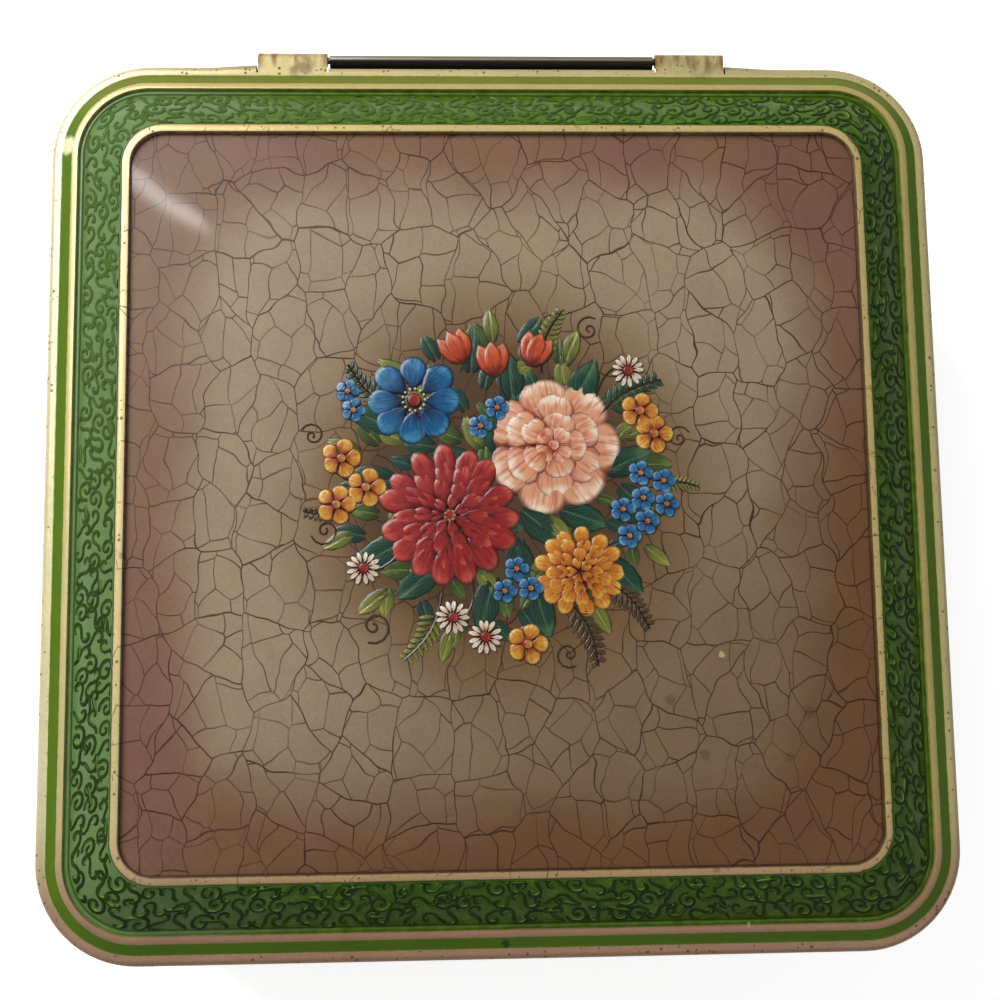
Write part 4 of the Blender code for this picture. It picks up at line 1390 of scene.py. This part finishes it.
def makeStem():         # an arc of a thin line, ending at x 1
    deselect()
    bpy.ops.mesh.primitive_circle_add(vertices=5, radius=0.5, rotation=(0, math.pi / 2, 0))
    piece = beginEditing("stemArc")
    bpy.ops.transform.resize(value=(1, 0.04, 1), center_override=(0, 0, 0))
    for i in range(6):
        extrudeBy((1 / 6, 0.08 * math.cos(math.pi * (i + 0.5) / 6), 0))
    bpy.ops.mesh.fill_holes(sides=6)
    setMode("OBJECT")
    piece.data.uv_layers.new(name="UVMap")
    return piece


# Flowers: form and paint, the rings of petals by count, start, length, width and lift, and then the dots in
# the middle by paint, count, distance from the middle, radius, height and lift
flowers = {
    "buttercups": ("heart", "yellow", [(5, 0.0006, 0.0036, 0.0038, 0.00032)], [
        ("heartGold", 1, 0, 0.0010, 0.0003, 0.00052)]),
    "forgetMeNots": ("heart", "sky", [(5, 0.0003, 0.0024, 0.0025, 0.00032)], [
        ("heartGold", 1, 0, 0.0006, 0.0003, 0.00052)]),
    "daisies": ("oval", "white", [(13, 0.0009, 0.0027, 0.0011, 0.00032)], [
        ("heartRed", 1, 0, 0.0011, 0.0003, 0.00052)]),
    "zinnia": ("oval", "coral", [
        (15, 0.0058, 0.0090, 0.0054, 0.00022), (13, 0.0038, 0.0078, 0.0046, 0.00034),
        (10, 0.0020, 0.0062, 0.0038, 0.00045), (7, 0.0006, 0.0042, 0.0028, 0.00054)], [
        ("coral", 1, 0, 0.0013, 0.0003, 0.0006), ("heartGold", 7, 0.0010, 0.00035, 0.00022, 0.00068)]),
    "camellia": ("heart", "peach", [
        (7, 0.0046, 0.0100, 0.0112, 0.00020), (6, 0.0028, 0.0082, 0.0090, 0.00036),
        (5, 0.0012, 0.0064, 0.0070, 0.00050), (4, 0.0002, 0.0044, 0.0048, 0.00060)], [
        ("peach", 1, 0, 0.0012, 0.00026, 0.00078)]),
    "anemone": ("heart", "blue", [(8, 0.0020, 0.0078, 0.0064, 0.00026)], [
        ("white", 13, 0.0023, 0.00030, 0.00022, 0.00058), ("heartRed", 1, 0, 0.0015, 0.0004, 0.0004)]),
    "marigold": ("heart", "marigold", [
        (13, 0.0044, 0.0052, 0.0038, 0.00022), (11, 0.0030, 0.0044, 0.0036, 0.00034),
        (8, 0.0016, 0.0036, 0.0032, 0.00045), (5, 0.0003, 0.0027, 0.0026, 0.00054)], []),
}
masters = {
    "oval": makePetal(
        "ovalPetal", (lambda p: p.x < 0.2, 0.5, {"scale": (1, 0.45, 1)}),
        (lambda p: abs(p.y) < 0.05 and 0.2 < p.x < 0.9, 0.22, {"move": (0, 0, -0.2)})),
    "heart": makePetal(     # wide, with a dip in its tip and in its middle
        "heartPetal", (lambda p: p.x < 0.15, 0.5, {"scale": (1, 0.4, 1)}),
        (lambda p: p.x > 0.96 and abs(p.y) < 0.08, 0.22, {"move": (-0.12, 0, 0)}),
        (lambda p: abs(p.y) < 0.12 and 0.3 < p.x < 0.75, 0.35, {"move": (0, 0, -0.25)})),
    "pointed": makePetal(
        "pointedPetal", (lambda p: p.x > 0.9, 0.45, {"scale": (1, 0.25, 1), "about": (1, 0, 0)}),
        (lambda p: p.x < 0.1, 0.35, {"scale": (1, 0.4, 1)}),
        (lambda p: abs(p.y) < 0.05 and 0.1 < p.x < 0.9, 0.18, {"move": (0, 0, -0.2)})),
    "bud": makePetal("bud", (lambda p: p.z > 0.4, 0.3, {"scale": (1, 1, 0.8)})),
    "leaf": makeLeaf(),
    "stem": makeStem(),
}
prints = {name: finishPetal(name) for name in paints}


def lay(form, paint, centre, angle, start, size, lift=0.0, tilt=0.0):      # one copy of a master
    matrix = Matrix.Translation((*centre, 0)) @ Matrix.Rotation(angle, 4, "Z")
    matrix = matrix @ Matrix.Translation((start, 0, lift)) @ Matrix.Rotation(tilt, 4, "Y")
    piece = copyPiece(masters[form], matrix @ Matrix.Diagonal((*size, 1)))
    piece.data.materials.append(prints[paint])
    return piece


def settle(name, pieces):       # joined, and laid on the pressed panel
    piece = joinPieces(name, pieces)
    for vertex in piece.data.vertices:
        x, y, z = vertex.co
        vertex.co = (x, y - middleY, panelTop(x, y) + pressed(x, y) + max(z, -posy["sink"]))
    finishPiece(piece, "lid", "lid_enamel")


def polar(away, angle):
    return away * math.cos(angle), away * math.sin(angle)


def flowerRings(form, paint, centre, rings, draw):      # rings: count, start, length, width and lift
    pieces = []
    for number, (count, start, length, width, lift) in enumerate(rings):
        for i in range(count):
            angle = math.tau * (i + 0.5 * (number % 2)) / count + draw.uniform(-0.07, 0.07)
            long = length * draw.uniform(0.93, 1.05)
            size = (long, width * draw.uniform(0.94, 1.08), petals["thick"])
            tilt = math.asin(min(0.2, petals["fall"] / length))
            raised = lift + draw.uniform(0, 0.00004)
            pieces.append(lay(form, paint, centre, angle, start, size, raised, tilt))
    return pieces


def addDots(centre, paint, count, away, radius, height, lift):      # in a ring, or one in the middle
    size = (2 * radius, 2 * radius, 2 * height)
    steps = [polar(away, math.tau * i / count) for i in range(count)]
    return [lay("bud", paint, (centre[0] + x, centre[1] + y), 0, -radius, size, lift) for x, y in steps]


def makeFlowers(names, draw):
    for name in names:
        form, paint, rings, middles = flowers[name]
        pieces = []
        for centre in posy[name] if name in posy else [posy["blossoms"][name][:2]]:
            pieces += flowerRings(form, paint, centre, rings, draw)
            for dots in middles:
                pieces += addDots(centre, *dots)
        settle(name, pieces)


def makeTulips():
    pieces = []
    for x, y, degrees in posy["tulips"]:
        for fan, lift in posy["tulipFans"]:
            size = (*posy["tulipSize"], petals["thick"])
            pieces.append(lay("pointed", "orange", (x, y), math.radians(degrees + fan), 0, size, lift))
    settle("tulips", pieces)


def makeLeaves(draw):
    for name, paint in (("tealLeaves", "teal"), ("limeLeaves", "lime")):
        pieces = []
        for degrees, away, length, width in posy[name]:
            angle = math.radians(degrees)
            size = (length, width, petals["leafThick"])
            turn = angle + draw.uniform(-0.35, 0.35)
            pieces.append(lay("leaf", paint, polar(away, angle), turn, 0, size, -0.00004))
        settle(name, pieces)
    count, out, least, longest = posy["fillers"]
    small = []
    for i in range(count):
        angle, length = i * math.radians(137.5), draw.uniform(least, longest)
        size = (length, length * draw.uniform(0.40, 0.56), petals["leafThick"])
        paint = ("teal", "green", "teal", "lime", "green")[i % 5]
        place = polar(out * math.sqrt((i + 0.5) / count), angle)
        small.append(lay("leaf", paint, place, angle + draw.uniform(-1.2, 1.2), 0, size, -0.00010))
    settle("smallLeaves", small)


def makeFronds():       # each a stem with pairs of narrow leaves, and then the bare stems
    thick, lift = petals["leafThick"], 0.00002
    pairs, aside, longest, less, wide = posy["frondLeaves"]
    fronds, stems = [], []
    for degrees, away, length, paint in posy["fronds"]:
        angle = math.radians(degrees)
        x, y = polar(away, angle)
        stems.append(lay("stem", "stem", (x, y), angle, -0.3 * length, (1.3 * length, length, thick), lift))
        for i in range(pairs):
            reach = length * (0.1 + 0.8 * i / (pairs - 1))
            sway = length * 0.1216 * math.sin(math.pi * (0.3 + reach / length) / 1.3)
            root = Matrix.Rotation(angle, 2) @ Vector((reach, sway)) + Vector((x, y))
            size = (length * (longest - less * i), length * wide, thick)
            fronds += [lay("pointed", paint, root, angle + turn, 0, size, lift) for turn in (-aside, aside)]
    settle("fronds", fronds)
    for x, y, degrees, length in posy["stems"]:
        stems.append(lay("stem", "stem", (x, y), math.radians(degrees), 0, (length, length, thick), lift))
    settle("stems", stems)


def makeTendrils():
    master = makeCurl("tendrilCurl", scrolls["forms"]["snail"] + ((0.0005, 90),), 4, posy["tendrilThick"])
    master.data.uv_layers.new(name="UVMap")
    master.data.materials.append(prints["tan"])
    pieces = []
    for x, y, degrees, size in posy["tendrils"]:
        turn = Matrix.Rotation(math.radians(degrees), 4, "Z") @ Matrix.Diagonal((abs(size), size, 1.2, 1))
        pieces.append(copyPiece(master, Matrix.Translation((x, y, 0.00012)) @ turn))
    settle("tendrils", pieces)
    discard([master])


draw = random.Random(23)
makeLeaves(draw)
makeFronds()
makeTendrils()
makeFlowers(("buttercups", "forgetMeNots", "daisies"), draw)
makeTulips()
makeFlowers(posy["blossoms"], draw)
discard(masters.values())
print("the posy is on the panel")
